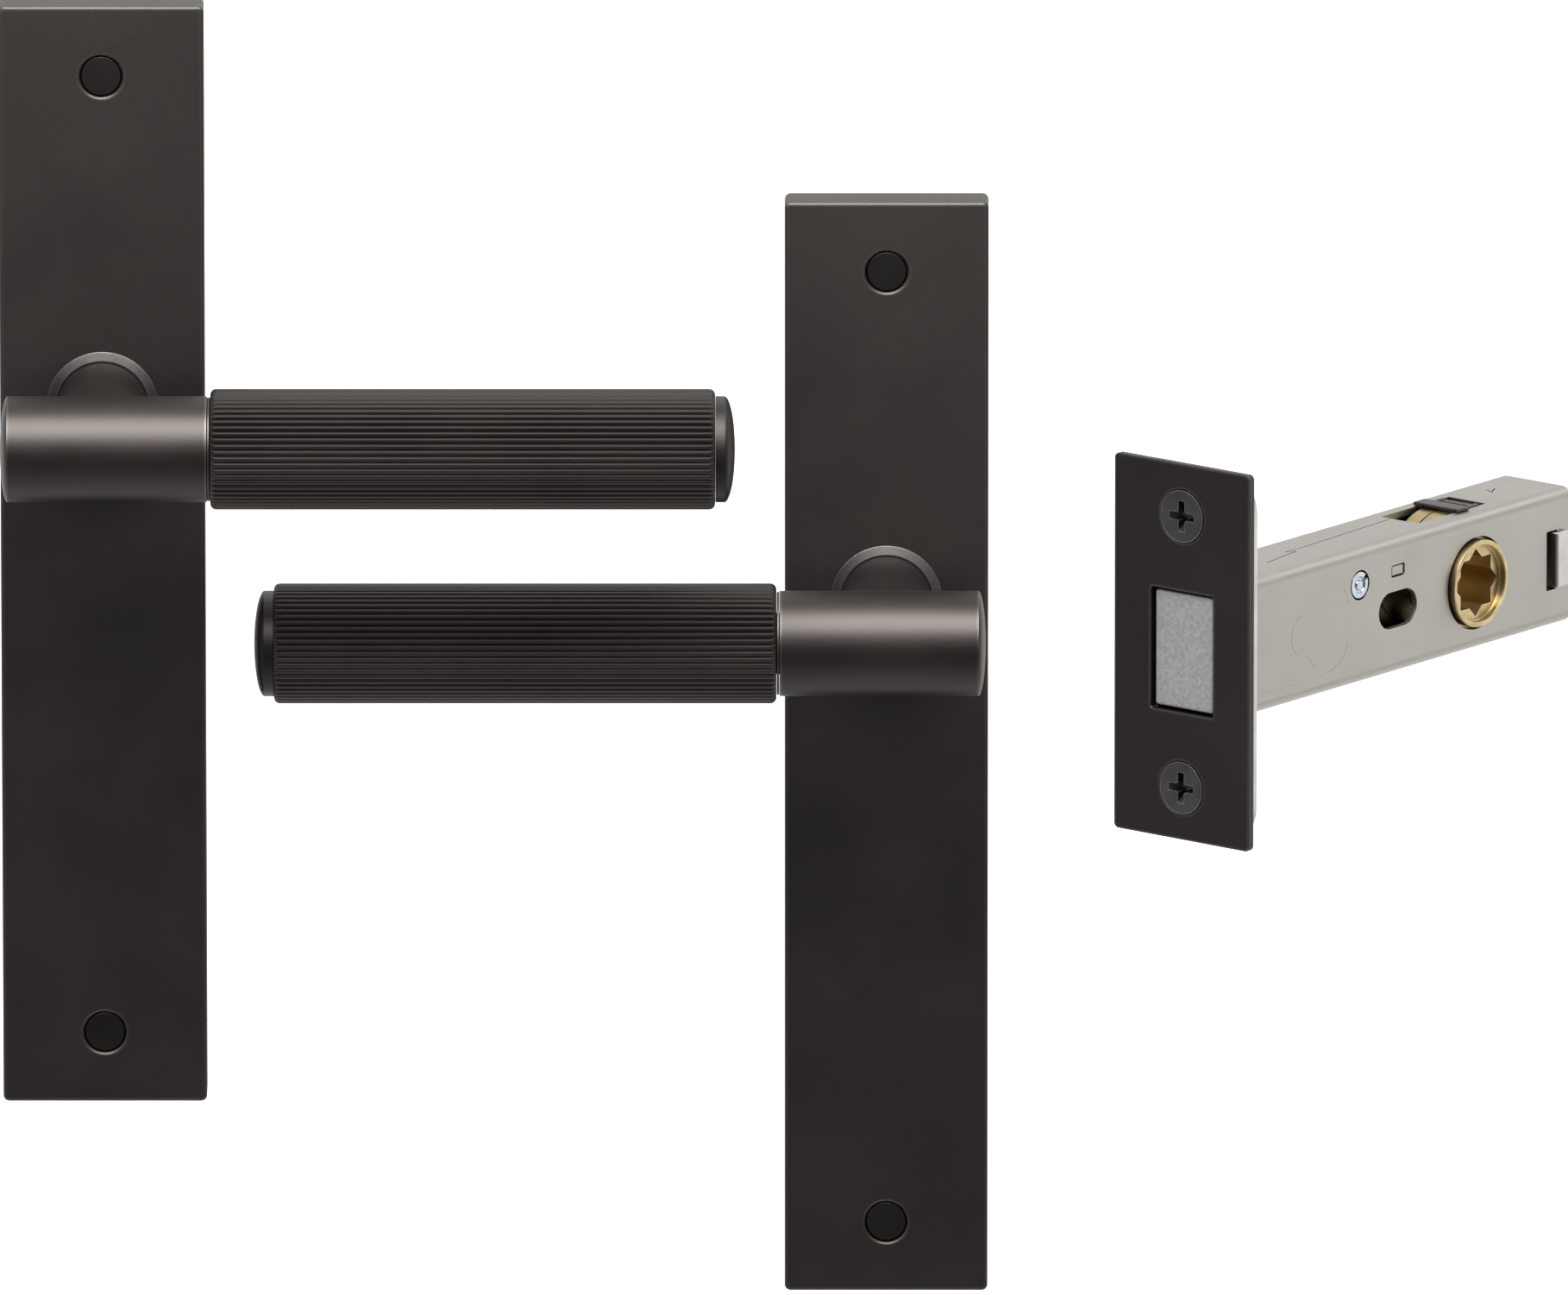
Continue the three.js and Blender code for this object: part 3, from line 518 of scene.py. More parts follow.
def countersinks():
    """Cutters for the two screw holes through the face plate and the forend."""
    wide, narrow = COUNTERSINK["wide"], COUNTERSINK["narrow"]
    front, floor, end = COUNTERSINK["front"], COUNTERSINK["floor"], COUNTERSINK["end"]
    profile = [(0, front), (wide, front), (narrow, floor), (narrow, end), (0, end)]
    return [moved(turned(profile, "Y"), z=side * FACE_SCREW["height"]) for side in (1, -1)]


def face_plate():
    outline = rounded_box(FACE_PLATE["width"], FACE_PLATE["height"], FACE_PLATE["corner"])
    sheet = slab(outline, [rounded_box(*BOLT_OPENING, 0.4)], 0, FACE_PLATE["thickness"], 0.14)
    return carved(sheet, *countersinks())


def forend():
    outline = rounded_box(FOREND["width"], FOREND["height"], FOREND["corner"], 12)
    mouth = rounded_box(CASE["width"] + 0.2, CASE["height"] + 0.2, CASE["corner"] + 0.1)
    return carved(slab(outline, [mouth], FOREND["front"], FOREND["back"], 0.12), *countersinks())


def face_screw(side):
    """A countersunk screw with a tapered cross recess."""
    head, shank, front = FACE_SCREW["head"], FACE_SCREW["shank"], FACE_SCREW["front"]
    profile = [(0, front), (head, front), (shank, head - shank + front), (shank, 3), (0, 3)]
    recess = [
        tapered(*zip(RECESS["reach"], RECESS["blade"]), RECESS["front"], RECESS["floor"]),
        tapered(*zip(RECESS["blade"], RECESS["reach"]), RECESS["front"], RECESS["floor"]),
        turned([(0, -0.5), (1.1, -0.5), (0.6, 1.9), (0, 2.1)], "Y", 24),
    ]
    top = carved(turned(eased(profile, 0.12), "Y"), *recess)
    thread = threaded(shank, FACE_SCREW["thread"], FACE_SCREW["pitch"], FACE_SCREW["thread_from"],
                      FACE_SCREW["end"])
    return moved(together(top, thread), z=side * FACE_SCREW["height"])


def oval(length, height, y, z):
    reach = (length - height) / 2
    right = [(y + reach + height / 2 * math.cos(a), z + height / 2 * math.sin(a))
             for a in np.linspace(-math.pi / 2, math.pi / 2, 24)]
    left = [(y - reach + height / 2 * math.cos(a), z + height / 2 * math.sin(a))
            for a in np.linspace(math.pi / 2, 1.5 * math.pi, 24)]
    return right + left


def ribbon(points, width, low, high, axis):
    """A thin wall along a line of points, in the y-z plane and thick along x, or in x-y along z."""
    pieces = []
    for (a0, b0), (a1, b1) in zip(points, points[1:]):
        ahead = Vector((a1 - a0, b1 - b0)).normalized()
        side = Vector((-ahead.y, ahead.x)) * width / 2
        ahead *= width / 2
        flat = [Vector((a0, b0)) - ahead + side, Vector((a0, b0)) - ahead - side,
                Vector((a1, b1)) + ahead - side, Vector((a1, b1)) + ahead + side]
        if axis == "X":
            rows = [[(level, p.x, p.y) for p in flat] for level in (low, high)]
        else:
            rows = [[(p.x, p.y, level) for p in flat] for level in (low, high)]
        pieces.append(grid(rows))
    return pieces


def case_body():
    """The folded steel case with its holes, the seam along its top and the scribed press marks."""
    width, height, wall = CASE["width"], CASE["height"], CASE["wall"]
    outline = rounded_box(width, height, CASE["corner"], 8)
    inside = rounded_box(width - 2 * wall, height - 2 * wall, CASE["corner"] - wall + 0.2, 4)
    tube = slab(outline, [], CASE["front"], CASE["rear"], 0.35)
    tube = carved(tube, slab(inside, [], 0, CASE["rear"] - wall))
    half_slot, half_window = REAR_SLOT["height"] / 2, CAM_WINDOW["width"] / 2
    tie = rounded_box(TIE_BAR["length"], TIE_BAR["height"], 0.4)
    tie = [(y + TIE_BAR["y"], z + TIE_BAR["z"]) for y, z in tie]
    through = oval(**THROUGH_HOLE)
    holes = [
        moved(rod(HUB["ring"] + 0.5, -width, width, "X"), y=HUB["y"]),
        moved(rod(PIN["radius"] + 0.3, -width, width, "X", around=48), y=PIN["y"], z=PIN["z"]),
        sideways(slab(through, [], -width, width)),
        sideways(slab(tie, [], -width, width)),
        block((-width, REAR_SLOT["from"], -half_slot), (width, REAR_SLOT["to"], half_slot)),
        block((-half_window, CAM_WINDOW["from"], -height), (half_window, CAM_WINDOW["to"], height)),
    ]
    case = softened(carved(tube, *holes), 0.1, 50)
    return carved(case, *seam(height / 2), *press_marks(width / 2))


def seam(top):
    """The line along the case's top where its fold meets, before and behind the window."""
    front = [(1.4, 18.8), (0.6, 24.4), (0.4, 27.1), (-0.7, 25.9), (-0.5, 30),
             (-1.6, CAM_WINDOW["from"])]
    rear = [(-2.0, 76.4), (-0.3, 75.6), (-1.5, 77.8)]
    lines = ribbon(front, 0.22, top - 0.5, top + 1, "Z")
    return lines + ribbon(rear, 0.22, top - 0.3, top + 1, "Z")


def press_marks(side):
    """Faint lines that the press left in the case's side, forward of the pin."""
    loop = [(31.1, 2.7), (24, 2.96), (20.8, 3.0), (19.1, 2.6), (17.8, 1.5), (17.4, -0.17),
            (17.8, -1.9), (18.8, -3.0), (20.6, -3.6), (23.2, -3.7)]
    sweep = [(31.1, -3.5), (30.3, -5), (28.7, -6.2), (26.8, -6.9), (24.3, -7.25), (8.9, -7.2)]
    tail = [(26.9, 6.3), (28.8, 5.7), (30.2, 4.9), (31.2, 3.3), (31.26, 2.63)]
    lines = []
    dashes = [[(9.05, 6.66), (14.67, 6.37)], [(21.2, -3.3), (23.0, -5.7)]]
    for points in (loop, sweep, tail, *dashes):
        lines += ribbon(points, 0.07, side - 0.04, side + 1, "X")
    return lines


def side_bar(side, across, along, reach):
    """A bar on one side of the case, from one x to another and from one y to another."""
    low, high = sorted(side * x for x in across)
    return block((low, along[0], -reach), (high, along[1], reach))


def end_clip():
    """The clip that closes the case, with a tab through each rear slot and folded over the side."""
    web, leg, tab = CLIP["web"], CLIP["leg"], CLIP["tab"]
    inner = CASE["width"] / 2 - CASE["wall"] - 0.1
    outer = CASE["width"] / 2 + 0.1
    rear = CASE["rear"] - CASE["wall"] - 0.2
    reach = REAR_SLOT["height"] / 2 - 0.25
    start, half = REAR_SLOT["from"] + CLIP["inset"], CLIP["height"] / 2
    parts = [softened(block((-inner, rear - web, -half), (inner, rear, half)), 0.2)]
    for side in (1, -1):
        arm = side_bar(side, (inner - leg, inner), (start, rear - 1), reach)
        bridge = side_bar(side, (inner - leg, outer + tab), (start, start + tab), reach)
        folded = side_bar(side, (outer, outer + tab), (start, start + CLIP["tab_length"]), reach)
        parts.append(softened(arm, 0.2))
        parts.append(softened(bridge, 0.3, segments=3))
        parts.append(softened(folded, 0.38, segments=4))
    return together(*parts)


def guide_pin():
    """The riveted pin, with a sunk ring in each end and a notch across one."""
    end, radius = CASE["width"] / 2 - 0.05, PIN["radius"]
    depths = (end, end - PIN["sunk"], end - PIN["sunk"], end)
    groove = list(zip(PIN["groove"], depths))
    profile = eased([(0, end), *groove, (radius, end), (radius, 0)], 0.08)
    blank = turned(profile + [(r, -y) for r, y in reversed(profile[:-1])], "X", 48)
    notch = block((end - 0.5, 0.9, -0.35), (end + 1, 3, 0.35))
    notch.transform(Matrix.Rotation(math.radians(35), 4, "X"))
    return moved(carved(blank, notch), y=PIN["y"], z=PIN["z"])


def tie_bar():
    y = TIE_BAR["length"] / 2 - TIE_BAR["room"]
    z = TIE_BAR["height"] / 2 - TIE_BAR["room"]
    end = CASE["width"] / 2 - 0.1
    bar = block((-end, -y, -z), (end, y, z))
    return moved(softened(bar, 0.3, segments=3), y=TIE_BAR["y"], z=TIE_BAR["z"])


def hub_cam(side):
    """Half of the split hub: its ring, its lugs and its eight-pointed hole."""
    inner, wall = HUB["gap"], CASE["width"] / 2 - CASE["wall"] - HUB["gap"]
    out = CASE["width"] / 2 + HUB["proud"]
    dish = out - HUB["dish"]
    sweep = np.radians(np.linspace(90 - LUG["rear"], 90 + LUG["front"], 24))
    lug = [(0.0, 0.0)] + [(LUG["radius"] * math.cos(a), LUG["radius"] * math.sin(a)) for a in sweep]
    lugs = [sideways(slab(lug, [], inner, LUG["width"])) for _ in range(2)]
    lugs[1].transform(Matrix.Rotation(math.pi, 4, "X"))
    ring = turned(eased([(0, inner), (HUB["ring"], inner), (HUB["ring"], out), (HUB["mouth"], out),
                         (HUB["mouth"], dish), (0, dish)], 0.15), "X")
    whole = carved(rod(HUB["body"], inner, wall, "X", 0.1), ring, *lugs, operation="UNION")
    half = HUB["half"]
    bores = [block((-1, -half, -half), (out + 1, half, half)) for _ in range(2)]
    bores[1].transform(Matrix.Rotation(math.pi / 4, 4, "X"))
    cam = moved(softened(carved(whole, *bores), 0.08, 35), y=HUB["y"])
    if side < 0:
        cam.transform(Matrix.Scale(-1, 4, (1, 0, 0)))
        cam.flip_normals()
    return cam


def hub_saddle():
    seat = CASE["height"] / 2 + 0.05
    wall, outside, wings = SADDLE["wall"], SADDLE["outside"], SADDLE["wings"]
    start, end = SADDLE["from"], SADDLE["to"]
    strap = block((-wings, start, seat), (wings, start + SADDLE["strap"], seat + SADDLE["rise"]))
    bridge = block((-outside, end - SADDLE["bridge"], seat - wall), (outside, end, seat))
    parts = [softened(strap, 0.22, segments=3), softened(bridge, 0.2)]
    for x in (-outside, outside - wall):
        side = block((x, start, SADDLE["low"]), (x + wall, end, seat + 0.2))
        parts.append(softened(side, 0.15))
    return together(*parts)


def bolt():
    outline = rounded_box(BOLT["width"], BOLT["height"], 0.5)
    bar = slab(outline, [], BOLT["front"], BOLT["rear"], 0.3)
    floor_of_bore = BOLT["front"] + BOLT["nose"]
    return carved(bar, rod(BOLT["bore"], floor_of_bore, BOLT["rear"] + 1, "Y", around=48))


def bolt_spring():
    radius, start, end = BOLT_SPRING["radius"], BOLT_SPRING["from"], BOLT_SPRING["to"]
    steps = BOLT_SPRING["turns"] * 24
    path = []
    for i in range(steps + 1):
        angle = i / 24 * 2 * math.pi
        along = start + (end - start) * i / steps
        path.append((radius * math.cos(angle), along, radius * math.sin(angle)))
    return moved(tube_along(path, BOLT_SPRING["wire"]), z=BOLT_SPRING["z"])


# ---- Materials ----------------------------------------------------------------------------------


# Painted shade: hollows darken by ambient occlusion, fully at this depth
HOLLOW_SHADE_DEPTH = 16 * MM         # a hollow this deep is fully dark
GRAIN_DEPTH = 0.05 * MM


def remapped(nodes, links, value, from_range, to_range):
    """A value node's output spread from one range onto another."""
    spread = nodes.new("ShaderNodeMapRange")
    for key, number in zip(("From Min", "From Max", "To Min", "To Max"), (*from_range, *to_range)):
        spread.inputs[key].default_value = number
    links.new(value, spread.inputs["Value"])
    return spread.outputs["Result"]


def noise(nodes, links, where, scale, detail):
    texture = nodes.new("ShaderNodeTexNoise")
    texture.inputs["Scale"].default_value = scale
    texture.inputs["Detail"].default_value = detail
    links.new(where, texture.inputs["Vector"])
    return texture.outputs["Fac"]


def blended(nodes, links, factor, first, second):
    """A mix of two colours, each a socket or a plain colour."""
    mix = nodes.new("ShaderNodeMix")
    mix.data_type = "RGBA"
    links.new(factor, mix.inputs["Factor"])
    for key, color in (("A", first), ("B", second)):
        if isinstance(color, tuple):
            mix.inputs[key].default_value = (*color, 1)
        else:
            links.new(color, mix.inputs[key])
    return mix.outputs["Result"]


# Mask for the edge colour, which stands for rubbed wear and is also a painted highlight along edges
def edge_wear_and_highlight_mask(nodes, links, reach):
    """How far the surface turns within this reach: 0 on a flat face, 1 along an outer edge."""
    rounded = nodes.new("ShaderNodeBevel")
    rounded.samples = 4
    rounded.inputs["Radius"].default_value = reach
    facing = nodes.new("ShaderNodeVectorMath")
    facing.operation = "DOT_PRODUCT"
    links.new(rounded.outputs["Normal"], facing.inputs[0])
    links.new(nodes.new("ShaderNodeNewGeometry").outputs["Normal"], facing.inputs[1])
    return remapped(nodes, links, facing.outputs["Value"], (0.995, 0.9), (0, 1))


def hollow_shade_mask(nodes, links, depth):
    """Painted shade from ambient occlusion: 0 deep in a hollow that is this deep, 1 in the open."""
    shade = nodes.new("ShaderNodeAmbientOcclusion")
    shade.samples = 8
    shade.inputs["Distance"].default_value = depth
    return remapped(nodes, links, shade.outputs["AO"], (0.1, 0.5), (0, 1))


def finish(name, color, tint, roughness, mottle, metallic=1.0, cloud=60.0, grain=0.0,
           grain_scale=900.0, edge_wear_and_highlight=None, reach=0.0003, hollow_shade=None):
    """A surface with clouded colour and roughness, a fine grain in relief, edges painted lighter for
    rubbed wear and a painted highlight, and painted shade darkening its hollows."""
    material = bpy.data.materials.new(name)
    material.use_nodes = True
    nodes, links = material.node_tree.nodes, material.node_tree.links
    shader = nodes["Principled BSDF"]
    shader.inputs["Metallic"].default_value = metallic
    where = nodes.new("ShaderNodeTexCoord").outputs["Object"]

    clouds = noise(nodes, links, where, cloud, 5)
    patches = remapped(nodes, links, clouds, (0.35, 0.65), (0, 1))
    shade = blended(nodes, links, patches, color, tint)
    # Edges painted lighter: partly rubbed wear, partly a painted highlight
    if edge_wear_and_highlight:
        shade = blended(nodes, links, edge_wear_and_highlight_mask(nodes, links, reach), shade, edge_wear_and_highlight)
    # Painted shade: the colour darkens in hollows, from ambient occlusion
    if hollow_shade:
        shade = blended(nodes, links, hollow_shade_mask(nodes, links, HOLLOW_SHADE_DEPTH), hollow_shade, shade)
    links.new(shade, shader.inputs["Base Color"])
    gloss = remapped(nodes, links, clouds, (0.3, 0.7), (roughness - mottle, roughness + mottle))
    links.new(gloss, shader.inputs["Roughness"])

    if grain:
        bump = nodes.new("ShaderNodeBump")
        bump.inputs["Strength"].default_value = grain
        bump.inputs["Distance"].default_value = GRAIN_DEPTH
        links.new(noise(nodes, links, where, grain_scale, 3), bump.inputs["Height"])
        links.new(bump.outputs["Normal"], shader.inputs["Normal"])
    return material


# Each finish's edge colour is painted along its edges: rubbed wear and a painted highlight together
FINISHES = {
    "bronze": dict(color=(0.054, 0.049, 0.046), tint=(0.061, 0.055, 0.0515), roughness=0.45,
                   mottle=0.02, cloud=50, grain=0.2, grain_scale=2500,
                   edge_wear_and_highlight=(0.17, 0.157, 0.14), reach=0.0008),
    "cap_bronze": dict(color=(0.034, 0.031, 0.03), tint=(0.04, 0.037, 0.035), roughness=0.45,
                       mottle=0.04, cloud=120, grain=0.2, grain_scale=2500,
                       edge_wear_and_highlight=(0.05, 0.045, 0.04), reach=0.0002),
    "screw_bronze": dict(color=(0.1, 0.1, 0.102), tint=(0.13, 0.129, 0.13), roughness=0.4,
                         mottle=0.05, cloud=300, grain=0.3, grain_scale=2500,
                         edge_wear_and_highlight=(0.5, 0.49, 0.48), reach=0.0002),
    "grip_bronze": dict(color=(0.072, 0.065, 0.061), tint=(0.086, 0.078, 0.071), roughness=0.52,
                        mottle=0.05, cloud=45, grain=0.2, grain_scale=2500,
                        edge_wear_and_highlight=(0.12, 0.105, 0.085), reach=0.0002),
    "collar_bronze": dict(color=(0.065, 0.062, 0.06), tint=(0.105, 0.1, 0.095), roughness=0.48,
                          mottle=0.05, cloud=160, grain=0.3, grain_scale=1500,
                          edge_wear_and_highlight=(0.3, 0.285, 0.27)),
    "black_plug": dict(color=(0.05, 0.045, 0.043), tint=(0.055, 0.05, 0.047), roughness=0.42,
                       mottle=0.04, edge_wear_and_highlight=(0.09, 0.08, 0.075)),
    # Painted shade: the last colour of zinc steel and of brass is painted into their hollows
    "zinc_steel": dict(color=(0.42, 0.4, 0.37), tint=(0.47, 0.45, 0.415), roughness=0.45,
                       mottle=0.06, cloud=90, grain=0.35, grain_scale=1100,
                       edge_wear_and_highlight=(0.62, 0.6, 0.565), hollow_shade=(0.015, 0.014, 0.013)),
    "stainless": dict(color=(0.55, 0.54, 0.52), tint=(0.5, 0.49, 0.47), roughness=0.32,
                      mottle=0.05, cloud=200, grain=0.2, grain_scale=1500,
                      edge_wear_and_highlight=(0.8, 0.79, 0.77)),
    "spring_steel": dict(color=(0.08, 0.076, 0.075), tint=(0.11, 0.105, 0.1), roughness=0.4,
                         mottle=0.05, cloud=250, edge_wear_and_highlight=(0.22, 0.21, 0.2), reach=0.0002),
    "brass": dict(color=(0.6, 0.47, 0.27), tint=(0.5, 0.385, 0.2), roughness=0.36, mottle=0.07,
                  cloud=350, grain=0.3, grain_scale=1600, edge_wear_and_highlight=(0.85, 0.78, 0.62), reach=0.0002,
                  hollow_shade=(0.5, 0.35, 0.14)),
    "blue_zinc": dict(color=(0.42, 0.47, 0.54), tint=(0.55, 0.6, 0.66), roughness=0.25,
                      mottle=0.05, cloud=400, edge_wear_and_highlight=(0.75, 0.78, 0.8), reach=0.00015),
    "cast_bolt": dict(color=(0.5, 0.495, 0.5), tint=(0.64, 0.635, 0.635), roughness=0.6,
                      metallic=0.7, mottle=0.06, cloud=1500, grain=1.0, grain_scale=3000,
                      edge_wear_and_highlight=(0.6, 0.59, 0.58)),
    "nylon": dict(color=(0.03, 0.03, 0.032), tint=(0.04, 0.04, 0.042), roughness=0.5, metallic=0,
                  mottle=0.05, grain=0.2, grain_scale=1500),
    "magnet": dict(color=(0.5, 0.5, 0.52), tint=(0.44, 0.44, 0.46), roughness=0.2, mottle=0.03),
}


# ---- Placing ------------------------------------------------------------------------------------

BODY_OF = {}
SLOT_OF = {}
LOOK_OF = {}   # the finish of each node: its slot's, but for a few pieces in a shade of their own
SHADES = {"end_cap": "cap_bronze", "face_screw": "screw_bronze"}


def place(name, mesh, where, looks):
    """Sets a piece at its place, in the finish and on the body of the CAD node that it replaces."""
    made = mesh.copy()
    made.transform(where)
    if where.determinant() < 0:
        made.flip_normals()
    made.materials.clear()
    made.materials.append(looks[LOOK_OF[name]])
    made.polygons.foreach_set("use_smooth", [True] * len(made.polygons))
    made.set_sharp_from_angle(angle=SHARP)
    obj = bpy.data.objects.new("look_" + name, made)
    bpy.context.scene.collection.objects.link(obj)
    even = obj.modifiers.new("even", "WEIGHTED_NORMAL")
    even.keep_sharp = True
    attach(obj, BODY_OF[name])
    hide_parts(name)


def dress_cad(frame, looks):
    """The CAD nodes that stay: inner pieces, with softened edges."""
    for name, obj in frame["nodes"].items():
        obj.data.materials.clear()
        obj.data.materials.append(looks[LOOK_OF[name]])
        if not obj.hide_render:
            soft = obj.modifiers.new("soft", "BEVEL")
            soft.width = 0.15 * MM
            soft.segments = 2
            soft.limit_method = "ANGLE"
            soft.angle_limit = math.radians(40)


def handle_pieces():
    pieces = {
        "backplate": backplate(),
        "collar_ring": collar_ring(),
        "neck_bush": neck_bush(),
        "cassette_cover": cassette_cover(),
        "return_spring": return_spring(),
        "lever_body": lever_body(),
        "joint_ring": joint_ring(),
        "grip_sleeve": grip_sleeve(),
        "end_cap": end_cap(),
        "grub_screw": grub_screw(),
    }
    for end, side in (("upper", 1), ("lower", -1)):
        pieces["screw_cap_" + end] = screw_cap(side)
        pieces["fixing_screw_" + end] = fixing_screw(side)
        pieces["cover_screw_" + end] = cover_screw(side)
    return pieces


def latch_pieces():
    return {
        "face_plate": face_plate(),
        "forend": forend(),
        "case_body": case_body(),
        "end_clip": end_clip(),
        "face_screw_upper": face_screw(1),
        "face_screw_lower": face_screw(-1),
        "guide_pin": guide_pin(),
        "tie_bar": tie_bar(),
        "hub_cam_left": hub_cam(-1),
        "hub_cam_right": hub_cam(1),
        "hub_saddle": hub_saddle(),
        "bolt": bolt(),
        "bolt_spring": bolt_spring(),
    }


def places(frame):
    """Where the left handle, the right handle and the latch lie, from the places of the joints."""
    joints = {joint["name"]: joint for joint in frame["joints"]}
    handle = Matrix.Scale(MM * HANDLE_SIZE, 4)
    apart = Vector(joints["right_lever_turn"]["pos_m"]) - Vector(joints["left_lever_turn"]["pos_m"])
    right = Matrix.Translation(apart) @ Matrix.Scale(-1, 4, (1, 0, 0)) @ handle
    across = Vector(joints["hub_turn"]["axis"]).normalized()
    inwards = -Vector(joints["bolt_throw"]["axis"]).normalized()
    origin = Vector(joints["hub_turn"]["pos_m"]) - inwards * HUB["y"] * MM * LATCH_SIZE
    latch = Matrix.Identity(4)
    latch.col[0][:3], latch.col[1][:3], latch.col[3][:3] = across, inwards, origin
    return handle, right, latch @ Matrix.Scale(MM * LATCH_SIZE, 4)


# ---- Studio -------------------------------------------------------------------------------------


# The room and its lights, in metres and watts
SKY = {"behind": (0.12, 1.0), "below": (0, 0.5)}   # brightness: from front to back, and added below
KEY = {"at": (0.1, -0.48, 0.78), "towards": (0.1, 0, 0), "size": (1.0, 0.65)}
KEY_POWER = {"handle_key": 24, "grip_key": 5, "latch_key": 10.5}
CARDS = {
    "rear_card": {"at": (0.1, 0.65, 0.75), "towards": (0.1, 0, 0), "size": (1.0, 0.4), "power": 2.2},
    "side_card": {"at": (0.95, 0.15, -0.05), "towards": (0.2, 0, 0), "size": (0.6, 0.5),
                  "power": 0.62},
    "bend_card": {"at": (0.78, 0.42, 0.53), "towards": (0.2, 0, 0), "size": (0.3, 0.3), "power": 0.5},
    "cap_card": {"at": (0.7, -0.15, 0.55), "towards": (0.12, 0, 0), "size": (0.3, 0.3), "power": 4.0},
}
GLOWS = {"upper": (0.085, 0.13), "lower": (-0.24, 0.04)}   # over each plate: height and power
GLOW = {"distance": 0.3, "size": (0.2, 0.08)}
SUN = {"power": 5, "spread": 40}
FLOOR = {"size": 400, "place": (0.11, 0, -0.21), "white": 0.8}
CAMERA = {"lens": 880, "distance": 6.375, "elevation": 13.5, "target": (0.1132, -0.00765, -0.01564)}


def lit_only(light, receivers):
    """Keeps a light off everything but these objects."""
    group = bpy.data.collections.new(light.name + "_lights")
    for obj in receivers:
        group.objects.link(obj)
    light.light_linking.receiver_collection = group


def area_light(name, at, towards, size, power, receivers):
    light = bpy.data.lights.new(name, "AREA")
    light.shape = "RECTANGLE"
    light.size, light.size_y = size
    light.energy = power
    obj = bpy.data.objects.new(name, light)
    obj.visible_camera = False
    obj.location = at
    obj.rotation_euler = (Vector(towards) - Vector(at)).to_track_quat("-Z", "Y").to_euler()
    bpy.context.scene.collection.objects.link(obj)
    lit_only(obj, receivers)


def sky(scene):
    """A white room: brightest behind the set and under it, dim where the camera stands."""
    world = bpy.data.worlds.new("studio")
    world.use_nodes = True
    nodes, links = world.node_tree.nodes, world.node_tree.links
    parts = nodes.new("ShaderNodeSeparateXYZ")
    links.new(nodes.new("ShaderNodeTexCoord").outputs["Generated"], parts.inputs["Vector"])
    behind = remapped(nodes, links, parts.outputs["Y"], (-0.8, 0.8), SKY["behind"])
    below = remapped(nodes, links, parts.outputs["Z"], (-0.35, -0.9), SKY["below"])
    total = nodes.new("ShaderNodeMath")
    links.new(behind, total.inputs[0])
    links.new(below, total.inputs[1])
    links.new(total.outputs["Value"], nodes["Background"].inputs["Strength"])
    nodes["Background"].inputs["Color"].default_value = (1, 1, 1, 1)
    scene.world = world


def floor():
    """The plain white table, under its own light and out of the metal's reflections."""
    bpy.ops.mesh.primitive_plane_add(size=FLOOR["size"], location=FLOOR["place"])
    plane = bpy.context.object
    plane.name = "floor"
    plane.visible_glossy = False
    plane.visible_diffuse = False
    paint = bpy.data.materials.new("floor_paint")
    paint.use_nodes = True
    shader = paint.node_tree.nodes["Principled BSDF"]
    shader.inputs["Base Color"].default_value = (*[FLOOR["white"]] * 3, 1)
    shader.inputs["Roughness"].default_value = 1
    plane.data.materials.append(paint)
    return plane


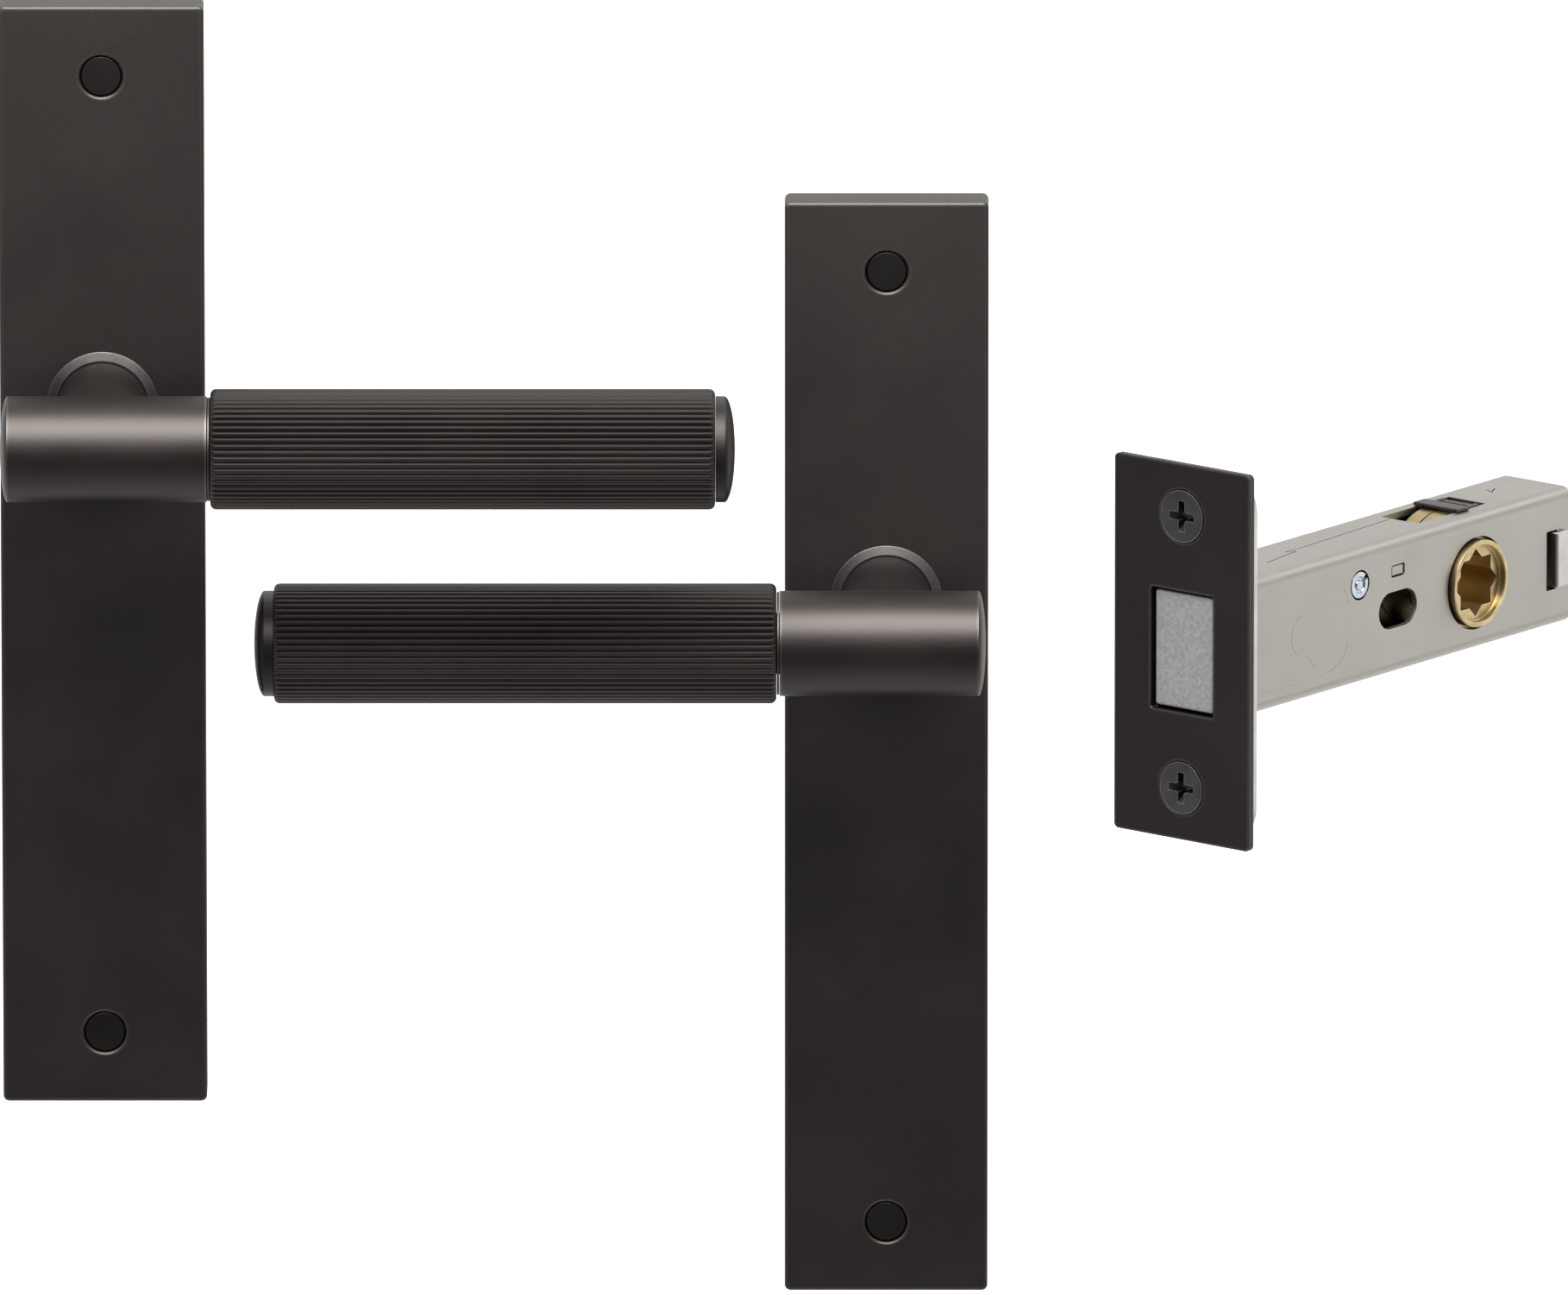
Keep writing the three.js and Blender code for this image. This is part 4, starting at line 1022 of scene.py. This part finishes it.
def studio(right):
    """The lights. Each reaches only the pieces it is set for, as in a picture joined from several."""
    pieces = [obj for obj in bpy.data.objects if obj.type == "MESH"]
    handles = [obj for obj in pieces if "left_" in obj.name or "right_" in obj.name]
    grips = [obj for obj in handles if "grip_sleeve" in obj.name]
    caps = [obj for obj in handles if "end_cap" in obj.name]
    latch = [obj for obj in pieces if obj not in handles]
    smooth = [obj for obj in handles if obj not in grips]
    bpy.context.scene.view_settings.view_transform = "Standard"
    sky(bpy.context.scene)
    for name, receivers in (("handle_key", smooth), ("grip_key", grips), ("latch_key", latch)):
        area_light(name, **KEY, power=KEY_POWER[name], receivers=receivers)
    for name, receivers in zip(CARDS, (handles, latch, latch, caps)):
        area_light(name, **CARDS[name], receivers=receivers)
    for side, centre in (("left", Vector()), ("right", right)):
        plate = [bpy.data.objects["look_" + side + "_backplate"]]
        for end, (height, power) in GLOWS.items():
            at = centre + Vector((0, -GLOW["distance"], height))
            towards = centre + Vector((0, 0, height / 2))
            area_light(side + "_" + end, at, towards, GLOW["size"], power, plate)
    sun = bpy.data.objects.new("floor_light", bpy.data.lights.new("floor_light", "SUN"))
    sun.data.energy = SUN["power"]
    sun.data.angle = math.radians(SUN["spread"])
    bpy.context.scene.collection.objects.link(sun)
    lit_only(sun, [floor()])


def camera():
    lens = bpy.data.cameras.new("camera")
    lens.sensor_width = 36
    lens.lens = CAMERA["lens"]
    lens.clip_start, lens.clip_end = 0.1, 600
    obj = bpy.data.objects.new("camera", lens)
    elevation = math.radians(CAMERA["elevation"])
    away = Vector((0, -math.cos(elevation), math.sin(elevation)))
    obj.location = Vector(CAMERA["target"]) + CAMERA["distance"] * away
    obj.rotation_euler = (math.pi / 2 - elevation, 0, 0)
    bpy.context.scene.collection.objects.link(obj)
    bpy.context.scene.camera = obj


# ---- The set ------------------------------------------------------------------------------------


def main():
    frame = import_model()
    for body, names in frame["record"]["behaviour"]["bodies"].items():
        BODY_OF.update({name: body for name in names})
    SLOT_OF.update({part["node"]: part["material_slot"] for part in frame["record"]["subparts"]})
    LOOK_OF.update(SLOT_OF)
    for part, shade in SHADES.items():
        LOOK_OF.update({name: shade for name in SLOT_OF if part in name})
    looks = {name: finish(name, **values) for name, values in FINISHES.items()}
    left, right, latch = places(frame)
    for name, mesh in handle_pieces().items():
        place("left_" + name, mesh, left, looks)
        place("right_" + name, mesh, right, looks)
    place("spindle", spindle(), left, looks)
    for name, mesh in latch_pieces().items():
        place(name, mesh, latch, looks)
    dress_cad(frame, looks)
    studio(right.translation)
    camera()


main()
